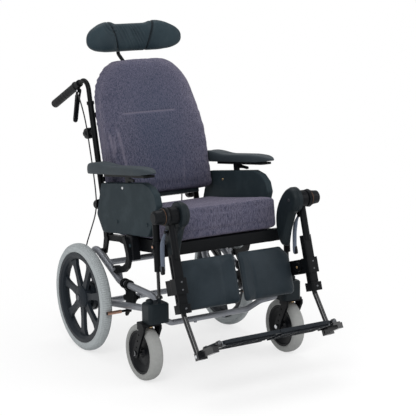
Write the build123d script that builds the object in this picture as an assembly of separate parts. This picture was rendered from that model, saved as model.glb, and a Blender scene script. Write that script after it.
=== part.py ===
"""Tilt in space wheelchair.

Millimetres, +Z up. The chair faces -Y, its left side is +X and the floor is Z = 0.
Positions taken from the rear axle go through at(); the seat, back and leg rests
each have a leaning frame of their own. The chair is mirrored about X = 0.
"""

import os
from math import cos, pi, radians, sin, tan

from build123d import *

os.makedirs("parts", exist_ok=True)

# ---------------------------------------------------------------- driving sizes
AXLE_Y = 203.4            # rear axle behind the origin
REAR_R = 200.0            # rear wheel
REAR_W = 42.0
REAR_X = 308.5
RIM_OUT = 163.0
RIM_IN = 143.0
HUB_R = 42.0
SPOKES = 7
CASTOR_R = 100.0
CASTOR_W = 48.0
CASTOR_X = 297.0
CASTOR_HUB_R = 77.0
STEM_Y = -478.0
TRAIL = 42.0
TUBE_R = 12.5             # chassis side tube
TUBE_X = 247.0
BOW_R = 10.5
SEAT_TILT = 7.0
SEAT_Y = -490.0
SEAT_Z = 484.0
BACK_LEAN = 13.8
LEG_LEAN = 17.0
RAIL_X = 195.0
RAIL_W = 24.0
RAIL_H = 45.0
CUSHION_T = 104.0
PANEL_IN = 216.0
PANEL_T = 26.0
PANEL_OUT = PANEL_IN + PANEL_T
SIDE_CLEAR = 4.0          # cushion to side panel
CUSHION_HALF = PANEL_IN - SIDE_CLEAR
POST_L = 20.0             # arm post, along the seat
POST_W = 14.0
POST_X = (PANEL_IN + PANEL_OUT) / 2
POST_Y = 247.0
UPRIGHT_X = 200.0
UPRIGHT_R = 11.0
HANDLE_R = 9.0
RUN = 0.05                # radial play of a turning pin
SLIDE = 0.1               # play of a sliding fit, each side
GAP = 0.5                 # gap between faces that pass each other
PAD_X = 244.0
PAD_HALF = 34.5
KNOB_Z = 360.0

SIDES = (("left", 1), ("right", -1))


# ---------------------------------------------------------------- helpers
def at(x, y, z):
    """Point given from the rear axle."""
    return Vector(x, AXLE_Y + y, z)


SEAT = Location((0, AXLE_Y + SEAT_Y, SEAT_Z), (-SEAT_TILT, 0, 0))
BACK = Location((0, AXLE_Y + 5, 448), (-BACK_LEAN, 0, 0))
LEG = Location((0, AXLE_Y - 578, 600), (-LEG_LEAN, 0, 0))
AXLE = Location((0, AXLE_Y, 0))
FOOT = LEG * Location((0, -8, -448), (-9, 0, 0))


def rod(a, b, r):
    """Round bar from a to b."""
    start = Vector(*a) if isinstance(a, tuple) else a
    end = Vector(*b) if isinstance(b, tuple) else b
    run = end - start
    return extrude(Plane(origin=start, z_dir=run) * Circle(r), amount=run.length)


def axis_rod(x0, x1, y, z, r):
    """Round bar along X."""
    return rod((min(x0, x1), y, z), (max(x0, x1), y, z), r)


def tube(points, bend, r):
    """Round bar bent through points."""
    path = FilletPolyline(*points, radius=bend)
    start = Vector(*points[0])
    run = Vector(*points[1]) - start
    return sweep(Plane(origin=start, z_dir=run) * Circle(r), path=path)


def plate(outline, x0, x1):
    """Plate between x0 and x1 with an outline in Y and Z."""
    low, high = min(x0, x1), max(x0, x1)
    face = make_face(Polyline(*[(low, y, z) for y, z in outline], close=True))
    return extrude(face, amount=high - low, dir=(1, 0, 0))


def link(circles, x0, x1):
    """Plate between x0 and x1 with the hull of circles (y, z, r) as outline."""
    low, high = min(x0, x1), max(x0, x1)
    base = Plane(origin=(low, 0, 0), x_dir=(0, 1, 0), z_dir=(1, 0, 0))
    body = None
    for (y0, z0, r0), (y1, z1, r1) in zip(circles, circles[1:]):
        discs = Pos(y0, z0) * Circle(r0) + Pos(y1, z1) * Circle(r1)
        hull = make_hull(discs.edges())
        piece = extrude(base * hull, amount=high - low)
        body = piece if body is None else body + piece
    return body


def block(x0, x1, y0, y1, z0, z1):
    """Box between limits."""
    low = (min(x0, x1), min(y0, y1), min(z0, z1))
    high = (max(x0, x1), max(y0, y1), max(z0, z1))
    size = [h - l for l, h in zip(low, high)]
    mid = [(h + l) / 2 for l, h in zip(low, high)]
    return Pos(*mid) * Box(*size)


def spin(outline, x_axis_y, x_axis_z):
    """Solid turned about an axis along X, outline in (x, radius)."""
    face = make_face(Polyline(*[(x, 0, r) for x, r in outline], close=True))
    turned = revolve(face, axis=Axis.X)
    return Pos(0, x_axis_y, x_axis_z) * turned


def save(name, *solids):
    """Write one node, one or more solids."""
    flat = []
    for solid in solids:
        flat.extend(solid.solids())
    shape = flat[0] if len(flat) == 1 else Compound(children=flat)
    shape.label = name
    export_step(shape, f"parts/{name}.step")
    box = shape.bounding_box()
    print(f"{name:22s} {len(flat):3d} y {box.min.Y:7.1f} {box.max.Y:7.1f} z {box.min.Z:7.1f} {box.max.Z:7.1f}"
          f" x {box.min.X:7.1f} {box.max.X:7.1f} volume {sum(s.volume for s in flat):11.0f}")


def both(make):
    """The same piece on the left and on the right."""
    return [make(sign) for _, sign in SIDES]


def join(pieces):
    """One solid out of overlapping pieces."""
    first = pieces[0].solids()[0]
    rest = [solid for piece in pieces[1:] for solid in piece.solids()]
    return Part() + first.fuse(*rest) if rest else Part() + first


# ---------------------------------------------------------------- chassis
PIVOT = (-155.0, 330.0)           # tilt axis
SPRING_LOW = (-205.0, 235.0)      # gas spring foot
SPRING_TOP = (10.0, 362.0)        # gas spring head
STRUT_LOW = (-495.0, 300.0)
STRUT_TOP = (-484.0, 478.0)
STRUT_X = 268.0
BALL_R = 8.0
SPRING_X = 223.5
LOCK = (-250.0, 240.0)            # wheel lock pivot
LOCK_GAP = 7.0                    # tyre to the middle of the lock pin
LOCK_PIN = (-REAR_R - LOCK_GAP, REAR_R - 15)
PLATE_X = 241.0
PLATE_T = 10.0
AXLE_R = 8.0
DRUM_IN = 264.0


def chassis_side(s):
    x = s * TUBE_X
    upper = tube([at(x, -455, 268), at(x, -405, 287), at(x, -178, 289), at(x, 30, 390),
                  at(x, 46, 300), at(x, 4, 204)], 38, TUBE_R)
    lower = rod(at(x, -8, 176), at(x, -455, 244), TUBE_R)
    axle_plate = AXLE * axis_rod(s * 238, s * 256, 0, REAR_R, 34)
    spacer = AXLE * axis_rod(s * 250, s * DRUM_IN, 0, REAR_R, 15)
    pin = AXLE * axis_rod(s * 250, s * (REAR_X + 18), 0, REAR_R, AXLE_R)
    lug = AXLE * link([(PIVOT[0], PIVOT[1], 13), (PIVOT[0] - 8, 296, 16)], s * 236, s * 245.5)
    hinge = AXLE * axis_rod(s * 238, s * 262, PIVOT[0], PIVOT[1], 6)
    return join([upper, lower, axle_plate, spacer, pin, lug, hinge])


left_side = chassis_side(1)
right_side = mirror(left_side, about=Plane.YZ)
cross_high = rod(at(-TUBE_X, -105, 345), at(TUBE_X, -105, 345), 11)
cross_low = rod(at(-TUBE_X, -8, 172), at(TUBE_X, -8, 172), 11)
bow = tube([at(-246, -472, 228), at(-211, -398, 197), at(-160, -388, 170), at(160, -388, 170),
            at(211, -398, 197), at(246, -472, 228)], 26, BOW_R)
bow_bolts = [rod(at(x, -388, 156), at(x, -388, 165), 6) for x in (-60, 60)]
housing_cut = [AXLE * block(s * 236, s * 316, -514, -448, 215, 283) for s in (1, -1)]
chassis = join([left_side, right_side, cross_high, cross_low, bow] + bow_bolts)
for cut in housing_cut:
    chassis = chassis - cut
save("chassis_frame", chassis)


def housing(s):
    body = block(s * 236, s * 316, -514, -448, 215, 283)
    body = fillet(body.edges().filter_by(Axis.Z), 14)
    body = chamfer(body.edges().group_by(Axis.Z)[-1], 5)
    cap = rod((s * CASTOR_X, STEM_Y, 280), (s * CASTOR_X, STEM_Y, 295), 13)
    cap = fillet(cap.edges().group_by(Axis.Z)[-1], 4)
    ball = Pos(s * STRUT_X, STRUT_LOW[0], 288) * Cylinder(5, 20) + Pos(s * STRUT_X, *STRUT_LOW) * Sphere(BALL_R)
    bore = rod((s * CASTOR_X, STEM_Y, 210), (s * CASTOR_X, STEM_Y, 276), AXLE_R + RUN)
    return AXLE * (body + cap + ball - bore)


save("castor_housings", *both(housing))


def clamps(s):
    """Bracket between the side tubes, with pins for the gas spring and the lock."""
    web = link([(-222, 222, 9), (-270, 222, 9), (-270, 268, 9), (-222, 268, 9), (-222, 222, 9)],
               s * 236, s * 246)
    core = block(s * 236, s * 246, -272, -220, 220, 270)
    ring_faces = []
    for y in (-250, -222):
        ring = axis_rod(0, 14, 0, 0, 18.5)
        ring = Rot(0, 0, 90) * ring
        ring_faces.append(Pos(s * TUBE_X, y, 288.4) * ring)
    spring_pin = axis_rod(s * 213, s * 240, SPRING_LOW[0], SPRING_LOW[1], 5)
    spring_ear = link([(SPRING_LOW[0], SPRING_LOW[1], 10), (-226, 240, 12)], s * 236, s * 246)
    lock_pin = axis_rod(s * 218, s * 240, LOCK[0], LOCK[1], 5)
    body = join([web, core, spring_ear, spring_pin, lock_pin] + ring_faces)
    head_a = axis_rod(s * 211, s * 213.4, SPRING_LOW[0], SPRING_LOW[1], 8)
    head_b = axis_rod(s * 217, s * 220.4, LOCK[0], LOCK[1], 8)
    return AXLE * (body + head_a + head_b)


save("frame_clamps", *[clamps(s) - chassis for _, s in SIDES])


def backplate(s):
    disc = spin([(DRUM_IN, AXLE_R), (DRUM_IN, 50), (DRUM_IN + 4, 54), (DRUM_IN + 8, 54),
                 (DRUM_IN + 8, AXLE_R)], 0, REAR_R)
    gland = rod((268, 22, REAR_R + 36), (268, 38, REAR_R + 68), 4)
    body = disc + gland - axis_rod(260, 280, 0, REAR_R, AXLE_R)
    body = body if s > 0 else mirror(body, about=Plane.YZ)
    return AXLE * body


save("brake_backplates", *both(backplate))


# ---------------------------------------------------------------- rear wheels
def rear_wheel():
    hub = spin([(274, AXLE_R + RUN), (274, 49), (290, 49), (292, 40), (300, HUB_R), (318, HUB_R),
                (324, 34), (329, 20), (329, AXLE_R + RUN)], 0, 0)
    cap = spin([(328, 0), (328, 17), (331.5, 12), (331.5, 0)], 0, 0)
    rim = spin([(288.5, RIM_OUT + 5), (288.5, 156), (296, RIM_IN + 2), (304, RIM_IN), (314, RIM_IN),
                (322, RIM_IN + 2), (328.5, 156), (328.5, RIM_OUT + 5), (325.5, RIM_OUT + 5),
                (325.5, RIM_OUT), (291.5, RIM_OUT), (291.5, RIM_OUT + 5)], 0, 0)
    spokes = []
    for number in range(SPOKES):
        half = make_face(Polyline((302, -15, -36), (302, -11, -80), (302, -13, -120),
                                  (302, -24, -RIM_IN - 6), (302, 24, -RIM_IN - 6),
                                  (302, 13, -120), (302, 11, -80), (302, 15, -36), close=True))
        bar = extrude(half, amount=13, dir=(1, 0, 0))
        spokes.append(Rot(360 / SPOKES * number, 0, 0) * bar)
    bore = axis_rod(270, 327.5, 0, 0, AXLE_R + RUN)
    return join([hub, cap, rim] + spokes) - bore


def rear_tyre():
    half = REAR_W / 2
    outline = [(-half + 4, RIM_OUT), (half - 4, RIM_OUT), (half - 4, RIM_OUT + 5.2),
               (half - 0.2, RIM_OUT + 8), (half, 182), (half - 3, 192), (half - 9, 198), (half - 16, REAR_R),
               (-half + 16, REAR_R), (-half + 9, 198), (-half + 3, 192), (-half, 182),
               (-half + 0.2, RIM_OUT + 8), (-half + 4, RIM_OUT + 5.2)]
    return spin([(x + REAR_X, r) for x, r in outline], 0, 0)


wheel = rear_wheel()
tyre = rear_tyre() - wheel
for name, s in SIDES:
    w = wheel if s > 0 else mirror(wheel, about=Plane.YZ)
    t = tyre if s > 0 else mirror(tyre, about=Plane.YZ)
    save(f"rear_wheel_{name}", Pos(0, AXLE_Y, REAR_R) * w)
    save(f"rear_tyre_{name}", Pos(0, AXLE_Y, REAR_R) * t)


# ---------------------------------------------------------------- castors
def castor_hub():
    half = 17.0
    outline = [(-half, 4 + RUN), (-half, 14), (-9, 20), (-5, 45), (-14, 66), (-19, 70), (-19, CASTOR_HUB_R),
               (19, CASTOR_HUB_R), (19, 70), (14, 66), (5, 45), (9, 20), (half, 14), (half, 4 + RUN)]
    return spin(outline, 0, 0)


def castor_tyre():
    half = CASTOR_W / 2
    outline = [(-19, CASTOR_HUB_R), (-half, CASTOR_HUB_R + 4), (-half, 90), (-half + 5, 96),
               (-half + 13, 99.3), (-4, CASTOR_R), (4, CASTOR_R), (half - 13, 99.3), (half - 5, 96),
               (half, 90), (half, CASTOR_HUB_R + 4), (19, CASTOR_HUB_R)]
    return spin(outline, 0, 0)


def castor_fork():
    """Made round the stem axis; the wheel axle lies TRAIL behind it."""
    leg_in = CASTOR_W / 2 + 4
    leg_out = leg_in + 8
    crown = block(-leg_out, leg_out, -20, 34, 204, 214)
    crown = fillet(crown.edges().filter_by(Axis.Z), 9)
    stem = rod((0, 0, 208), (0, 0, 275), AXLE_R)
    parts = [crown, stem]
    holes = []
    for side in (1, -1):
        leg = link([(-4, 196, 16), (14, 160, 15), (30, 130, 15), (TRAIL, 100, 17)],
                   side * leg_in, side * leg_out)
        top = block(side * leg_in, side * leg_out, -20, 26, 190, 206)
        parts.extend([leg, top])
        for n in range(1, 4):
            holes.append(axis_rod(side * (leg_in - 1), side * (leg_out + 1), TRAIL - 9.0 * n, 100 + 24.0 * n, 3.5))
    axle = axis_rod(-leg_out, leg_out, TRAIL, 100, 4)
    heads = [extrude(Plane(origin=(side * leg_out, TRAIL, 100), z_dir=(side, 0, 0)) * RegularPolygon(8, 6), amount=6)
             for side in (1, -1)]
    body = join(parts + [axle] + heads)
    for hole in holes:
        body = body - hole
    return body


hub, ring, fork = castor_hub(), castor_tyre(), castor_fork()
for name, s in SIDES:
    centre = Pos(s * CASTOR_X, AXLE_Y + STEM_Y, 0)
    save(f"castor_fork_{name}", centre * fork)
    save(f"castor_hub_{name}", centre * Pos(0, TRAIL, CASTOR_R) * hub)
    save(f"castor_tyre_{name}", centre * Pos(0, TRAIL, CASTOR_R) * ring)


# ---------------------------------------------------------------- wheel locks
for name, s in SIDES:
    elbow = (LOCK_PIN[0] + 11, LOCK_PIN[1] - 1, 10)
    toe = (LOCK_PIN[0] + 23, LOCK_PIN[1] - 20, 7)
    lever = link([(LOCK[0], LOCK[1], 11), elbow, toe], s * 223, s * 230)
    bar = axis_rod(s * 225, s * 320, LOCK_PIN[0], LOCK_PIN[1], 4.5)
    sleeve = axis_rod(s * 266, s * 320, LOCK_PIN[0], LOCK_PIN[1], 5.8)
    arm = link([(LOCK_PIN[0], LOCK_PIN[1], 8), elbow], s * 223, s * 232)
    bore = axis_rod(s * 222, s * 231, LOCK[0], LOCK[1], 5 + RUN)
    save(f"wheel_lock_{name}", AXLE * (join([lever, arm, bar, sleeve]) - bore))


# ---------------------------------------------------------------- seat body
RAIL_IN = RAIL_X - RAIL_W / 2
RAIL_OUT = RAIL_X + RAIL_W / 2
FRONT_HALF = PANEL_OUT + 4
RAIL_END = 16.3           # rail beyond the middle of the back hinge


def seat_local(y, z):
    """Rear-axle (y, z) in the seat's own frame."""
    c, n = cos(radians(SEAT_TILT)), sin(radians(SEAT_TILT))
    dy, dz = y - SEAT_Y, z - SEAT_Z
    return dy * c - dz * n, dy * n + dz * c


HINGE = seat_local(5, 448)
SEAT_LEN = round(HINGE[0] + RAIL_END, 1)
HEAD = seat_local(*SPRING_TOP)
STRUT = seat_local(*STRUT_TOP)
TILT = seat_local(*PIVOT)
RECLINE_FOOT = (250.0, -40.0)       # in the seat frame
RECLINE_HEAD = (0.0, -62.0)         # in the back frame


def rail(s):
    side = plate([(0, 0), (SEAT_LEN, 0), (SEAT_LEN, -22), (395, -22), (296, -RAIL_H), (0, -RAIL_H)],
                 s * RAIL_IN, s * RAIL_OUT)
    ears = []
    for x0, x1 in ((183, 191), (203, 211)):
        ears.append(link([(HINGE[0], HINGE[1], 13), (HINGE[0], -8, 13)], s * x0, s * x1))
    pin = axis_rod(s * 181, s * 213, HINGE[0], HINGE[1], 6)
    hanger = link([(HEAD[0], HEAD[1], 12), (492, -14, 14)], s * 203, s * 212)
    head_pin = axis_rod(s * 206, s * 232, HEAD[0], HEAD[1], 4)
    return join([side] + ears + [pin, hanger, head_pin])


front = block(-FRONT_HALF, FRONT_HALF, 0, 30, -RAIL_H, -2)
front = fillet(front.edges().filter_by(Axis.X), 4)
cross_rear = block(-RAIL_IN - 2, RAIL_IN + 2, 402, 427, -21, -1)
pan = block(-RAIL_IN - 2, RAIL_IN + 2, 20, 400, -6, -1)
strut_pins = [axis_rod(s * 240, s * 254.5, STRUT[0], STRUT[1], 4) for _, s in SIDES]
foot_bar = block(-RAIL_IN - 2, RAIL_IN + 2, 236, 264, -14, -4)
foot_lugs = [block(x0, x1, 240, 260, -50, -10) for x0, x1 in ((-14, -8.5), (8.5, 14))]
foot_pin = axis_rod(-16, 16, RECLINE_FOOT[0], RECLINE_FOOT[1], 4)
seat = join(both(rail) + [front, cross_rear, pan, foot_bar, foot_pin] + foot_lugs + strut_pins)
for s in (1, -1):
    for y in (80, 160, 240, 320):
        seat = seat - Pos(s * 90, y, 0) * Box(110, 50, 40)
save("seat_frame", SEAT * seat)


def section(half, front_y, back_y, z, crown, draw_in=0.0):
    """Closed outline of a cushion at height z: flat back, flanks that draw in to the front, crowned front."""
    round_off = 26.0
    left, right = draw_in - half, half - draw_in
    wide = half
    edges = [
        Line((10 - wide, back_y, z), (wide - 10, back_y, z)),
        ThreePointArc((wide - 10, back_y, z), (wide - 3, back_y - 3, z), (wide, back_y - 10, z)),
        Line((wide, back_y - 10, z), (right, front_y + crown + round_off, z)),
        ThreePointArc((right, front_y + crown + round_off, z),
                      (right - 0.29 * round_off, front_y + crown + 0.29 * round_off, z),
                      (right - round_off, front_y + crown, z)),
        ThreePointArc((right - round_off, front_y + crown, z), (0, front_y, z),
                      (left + round_off, front_y + crown, z)),
        ThreePointArc((left + round_off, front_y + crown, z),
                      (left + 0.29 * round_off, front_y + crown + 0.29 * round_off, z),
                      (left, front_y + crown + round_off, z)),
        Line((left, front_y + crown + round_off, z), (-wide, back_y - 10, z)),
        ThreePointArc((-wide, back_y - 10, z), (3 - wide, back_y - 3, z), (10 - wide, back_y, z)),
    ]
    return make_face(Wire(edges))


def cushion(stations, back_y, crown):
    """Padded form lofted through stations (z, half width, front y, how far the front draws in)."""
    return loft([section(half, front_y, back_y, z, crown, draw_in) for z, half, front_y, draw_in in stations], ruled=True)


# the seat cushion is the same form lying down: its crowned face looks up
seat_stations = [(-14, 196, -90, 0), (-12, 204, -101, 0), (-6, 210, -108, 0), (6, CUSHION_HALF, -CUSHION_T - 8, 0),
                 (120, CUSHION_HALF - 1, -CUSHION_T - 8, 0), (250, CUSHION_HALF, -CUSHION_T - 4, 0),
                 (370, CUSHION_HALF - 1, -CUSHION_T, 0), (396, 208, -CUSHION_T + 4, 0), (406, 203, -94, 0),
                 (411, 196, -84, 0)]
lying = cushion(seat_stations, -0.3, 8)
seat_cushion = Rot(-90, 0, 0) * lying
save("seat_cushion", SEAT * seat_cushion)


def arm_socket(s):
    body = block(s * 213, s * 246, 226, 268, -72, 15.5)
    body = chamfer(body.edges().filter_by(Axis.Z), 3)
    bridge = block(s * 206, s * 218, 230, 264, -40, -3)
    blade = link([(262, 0, 10), (246, -46, 11), (244, -70, 12), (256, -92, 12), (282, -106, 12), (TILT[0] - 20, TILT[1] - 1, 12),
                  (TILT[0], TILT[1], 13.5)], s * 246, s * 258)
    hole = block(s * POST_X - POST_W / 2 - SLIDE, s * POST_X + POST_W / 2 + SLIDE,
                 POST_Y - POST_L / 2 - SLIDE, POST_Y + POST_L / 2 + SLIDE, -70, 40)
    bore = axis_rod(s * 244, s * 264, TILT[0], TILT[1], 6 + RUN)
    return SEAT * (body + bridge + blade - hole - bore)


seat_world = SEAT * seat
save("arm_sockets", *[arm_socket(s) - seat_world for _, s in SIDES])

KNEE = seat_local(-578, 600)


def knee_cover(s):
    disc = spin([(208, 4), (208, 40), (212, 44), (241, 44), (245, 40), (245, 4)], KNEE[0], KNEE[1])
    tail = plate([(-88, 145), (-62, 137), (-34, 120), (-12, 97), (0, 68), (0, 38), (-6, 14), (-0.3, -4), (-0.3, -44),
                  (-8, -54), (-24, -58), (-56, -58), (-66, -50), (-72, -20), (-80, 20), (-90, 50), (-101, 70)], s * 214, s * 240)
    tail = chamfer(tail.faces().filter_by(Axis.X).sort_by(Axis.X)[0 if s > 0 else -1].edges(), 5)
    pin = axis_rod(s * 206, s * 300, KNEE[0], KNEE[1], 6)
    disc = disc if s > 0 else mirror(disc, about=Plane.YZ)
    return SEAT * (disc + tail + pin)


save("knee_covers", *both(knee_cover))

panel_outline = [(435, 197.5), (488, 82), (451, 16), (114, 16), (62, 72), (34.6, 128), (44, 165), (72, 190), (119, 205)]
for name, s in SIDES:
    panel = plate(panel_outline, s * PANEL_IN, s * PANEL_OUT)
    panel = fillet(panel.edges().filter_by(Axis.X), 14)
    panel = chamfer(panel.faces().filter_by(Axis.X).edges(), 2.5)
    channel = block(s * POST_X - POST_W / 2 - SLIDE, s * POST_X + POST_W / 2 + SLIDE,
                    POST_Y - POST_L / 2 - SLIDE, POST_Y + POST_L / 2 + SLIDE, 0, 240)
    save(f"side_panel_{name}", SEAT * (panel - channel))
    post = block(s * POST_X - POST_W / 2, s * POST_X + POST_W / 2,
                 POST_Y - POST_L / 2, POST_Y + POST_L / 2, -60, 226)
    top = block(s * (PAD_X - 24), s * (PAD_X + 20), 62, 372, 225, 233)
    top = fillet(top.edges().filter_by(Axis.Z), 10)
    trigger = link([(236, 216, 7), (212, 214, 5), (190, 211, 5)], s * 236, s * 242)
    trigger_lug = block(s * 232, s * 242, 230, 244, 212, 226)
    save(f"arm_post_{name}", SEAT * join([post, top, trigger, trigger_lug]))
    pad_side = make_face(Polyline((0, 34, 233), (0, 494, 233), (0, 494, 262), (0, 480, 271), (0, 420, 276),
                                  (0, 340, 272), (0, 300, 262), (0, 150, 259), (0, 60, 260), (0, 40, 255), close=True))
    pad = Pos(s * PAD_X - PAD_HALF, 0, 0) * extrude(pad_side, amount=2 * PAD_HALF, dir=(1, 0, 0))
    pad = fillet(pad.edges().filter_by(Axis.Z), 12)
    pad = fillet(pad.edges().group_by(Axis.Z)[-1], 3)
    save(f"arm_pad_{name}", SEAT * pad)


# ---------------------------------------------------------------- tilt struts and gas springs
def point_on(a, b, d):
    """Point at distance d from a toward b, in Y and Z."""
    run = ((b[0] - a[0]) ** 2 + (b[1] - a[1]) ** 2) ** 0.5
    return a[0] + (b[0] - a[0]) * d / run, a[1] + (b[1] - a[1]) * d / run


def strut(s):
    length = ((STRUT_TOP[0] - STRUT_LOW[0]) ** 2 + (STRUT_TOP[1] - STRUT_LOW[1]) ** 2) ** 0.5
    x = s * STRUT_X
    cup = Pos(x, *STRUT_LOW) * Sphere(BALL_R + 4.5)
    below = block(x - 14, x + 14, STRUT_LOW[0] - 14, STRUT_LOW[0] + 14, STRUT_LOW[1] - 16, STRUT_LOW[1] - 0.5)
    foot = point_on(STRUT_LOW, STRUT_TOP, 10)
    tip = point_on(STRUT_LOW, STRUT_TOP, 222)
    shaft = rod((x, foot[0], foot[1]), (x, tip[0], tip[1]), 6)
    socket = Pos(x, *STRUT_LOW) * Sphere(BALL_R + RUN)
    open_end = point_on(STRUT_LOW, STRUT_TOP, 92)
    top_end = point_on(STRUT_LOW, STRUT_TOP, 270)
    barrel = rod((x, open_end[0], open_end[1]), (x, top_end[0], top_end[1]), 12)
    barrel = fillet(barrel.edges().group_by(Axis.Z)[-1], 3)
    inside = point_on(STRUT_LOW, STRUT_TOP, 264)
    start = point_on(STRUT_LOW, STRUT_TOP, 80)
    bore = rod((x, start[0], start[1]), (x, inside[0], inside[1]), 6 + RUN)
    collar = rod((x, *point_on(STRUT_LOW, STRUT_TOP, length - 17)), (x, *point_on(STRUT_LOW, STRUT_TOP, length + 17)), 14.2)
    bolt = axis_rod(x + s * 12, x + s * 18, STRUT_TOP[0], STRUT_TOP[1], 8)
    boss = axis_rod(s * 247, s * 258, STRUT_TOP[0], STRUT_TOP[1], 11)
    blind = axis_rod(s * 246, s * 256, STRUT_TOP[0], STRUT_TOP[1], 6.8)
    return AXLE * (cup + shaft - socket - below), AXLE * (barrel + collar + bolt + boss - blind - bore)


struts = both(strut)
save("strut_rods", *[pair[0] for pair in struts])
save("strut_tubes", *[pair[1] for pair in struts])


def gas_spring(s):
    length = ((SPRING_TOP[0] - SPRING_LOW[0]) ** 2 + (SPRING_TOP[1] - SPRING_LOW[1]) ** 2) ** 0.5
    x0, x1 = s * 216, s * 229.5
    x = s * SPRING_X
    low_eye = axis_rod(x0, x1, SPRING_LOW[0], SPRING_LOW[1], 9)
    rod_end = point_on(SPRING_LOW, SPRING_TOP, 170)
    shaft = rod((x, *SPRING_LOW), (x, *rod_end), 4)
    low_bore = axis_rod(s * 210, s * 234, SPRING_LOW[0], SPRING_LOW[1], 5 + RUN)
    mouth = point_on(SPRING_LOW, SPRING_TOP, 66)
    crown = point_on(SPRING_LOW, SPRING_TOP, length - 7)
    barrel = rod((x, *mouth), (x, *crown), 10)
    top_eye = axis_rod(x0, x1, SPRING_TOP[0], SPRING_TOP[1], 10)
    deep = point_on(SPRING_LOW, SPRING_TOP, 196)
    bore = rod((x, *point_on(SPRING_LOW, SPRING_TOP, 50)), (x, *deep), 4 + RUN)
    top_bore = axis_rod(s * 210, s * 234, SPRING_TOP[0], SPRING_TOP[1], 5.6)
    return AXLE * (low_eye + shaft - low_bore), AXLE * (barrel + top_eye - bore - top_bore)


springs = both(gas_spring)
save("spring_rods", *[pair[0] for pair in springs])
save("spring_cylinders", *[pair[1] for pair in springs])


# ---------------------------------------------------------------- back
def upright(s):
    x = s * UPRIGHT_X
    post = rod((x, 0, 32), (x, 0, 470), UPRIGHT_R)
    lug = link([(0, 0, 13), (0, 34, 10)], s * 191.5, s * 202.5)
    lower_knob = rod((x, 8, 92), (x, 34, 92), 6) + rod((x, 34, 92), (x, 54, 92), 18)
    cap = rod((x, 0, 462), (x, 0, 474), 14)
    boss = rod((x, 6, KNOB_Z), (x, 30, KNOB_Z), 9)
    return join([post, lug, lower_knob, cap, boss])


bars = [rod((-UPRIGHT_X, -14.8, z), (UPRIGHT_X, -14.8, z), 10) for z in (180, 420)]
head_guide = block(-24, 24, -12, 34, 396, 446)
back = join(both(upright) + bars + [head_guide])
STEM_R = 7.0
HEAD_Y = 22.0
for s in (1, -1):
    back = back - axis_rod(s * 180, s * 216, 0, 0, 6 + RUN)
    back = back - rod((s * UPRIGHT_X, 0, 60), (s * UPRIGHT_X, 0, 490), HANDLE_R + RUN)
    back = back - rod((s * UPRIGHT_X, 4, KNOB_Z), (s * UPRIGHT_X, 40, KNOB_Z), 4 + RUN)
back = back - rod((0, HEAD_Y, 380), (0, HEAD_Y, 460), STEM_R + RUN)
low_bar = rod((-UPRIGHT_X, 0, 34), (UPRIGHT_X, 0, 34), 8)
cheeks = [link([(0, 34, 11), (RECLINE_HEAD[0], RECLINE_HEAD[1], 9)], x0, x1) for x0, x1 in ((-14, -8.5), (8.5, 14))]
recline_pin = axis_rod(-16, 16, RECLINE_HEAD[0], RECLINE_HEAD[1], 4)
back = join([back, low_bar, recline_pin] + cheeks)
save("back_frame", BACK * back)

back_stations = [(104, 190, -124, 2), (108, 199, -135, 2), (116, 205, -142, 3), (180, 206, -144, 3), (276, 207, -145, 3),
                 (330, 208, -142, 7), (378, 210, -138, 15), (430, 210, -131, 27), (486, 206, -125, 42),
                 (520, 199, -121, 52), (550, 185, -118, 60), (575, 166, -114, 64), (592, 149, -108, 66),
                 (604, 130, -100, 66), (612, 110, -88, 60)]
back_cushion = cushion(back_stations, -40.3, 7)
save("back_cushion", BACK * back_cushion)

shell_outline = Polyline((-150, 92), (150, 92), (184, 120), (186, 270), (178, 370), (162, 480), (130, 540),
                         (88, 582), (46, 598), (-46, 598), (-88, 582), (-130, 540), (-162, 480), (-178, 370),
                         (-186, 270), (-184, 120), close=True)
shell_face = Plane(origin=(0, -25, 0), x_dir=(1, 0, 0), z_dir=(0, -1, 0)) * make_face(shell_outline)
shell = extrude(shell_face, amount=15)
lip = block(-150, 150, -118, -25, 90, 103)
lip = fillet(lip.edges().filter_by(Axis.Z), 12)
save("back_shell", BACK * (shell + lip))

# recline gas spring, lengthwise under the seat pan
foot_at = (SEAT * Pos(0, *RECLINE_FOOT)).position
head_at = (BACK * Pos(0, *RECLINE_HEAD)).position
LOWER, UPPER = (foot_at.Y, foot_at.Z), (head_at.Y, head_at.Z)
print("recline pivots, from the rear axle", LOWER[0] - AXLE_Y, LOWER[1], UPPER[0] - AXLE_Y, UPPER[1])
cylinder = rod((0, *point_on(LOWER, UPPER, 14)), (0, *point_on(LOWER, UPPER, 136)), 9.5)
cylinder = cylinder + rod((0, *LOWER), (0, *point_on(LOWER, UPPER, 20)), 6)
cylinder = cylinder + axis_rod(-8, 8, LOWER[0], LOWER[1], 9.5)
cylinder = cylinder - rod((0, *point_on(LOWER, UPPER, 16)), (0, *point_on(LOWER, UPPER, 150)), 4 + RUN)
cylinder = cylinder - axis_rod(-20, 20, LOWER[0], LOWER[1], 4 + RUN)
save("recline_cylinder", cylinder)
ram = rod((0, *point_on(LOWER, UPPER, 60)), (0, *point_on(LOWER, UPPER, 232)), 4)
ram = ram + axis_rod(-8, 8, UPPER[0], UPPER[1], 10) - axis_rod(-20, 20, UPPER[0], UPPER[1], 6.4)
save("recline_rod", ram)

# ---------------------------------------------------------------- headrest
HEAD_AXIS = (46.0, 717.0)
stem = tube([(0, HEAD_Y, 300), (0, HEAD_Y, 575), (0, 108, 664), (0, 66, HEAD_AXIS[1]), (0, 36, HEAD_AXIS[1])], 14, STEM_R)
yoke = axis_rod(-16, 16, 34, HEAD_AXIS[1], 8)
stem = stem + yoke - axis_rod(-20, 20, 34, HEAD_AXIS[1], 3 + RUN)
save("headrest_stem", BACK * stem)

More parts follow.
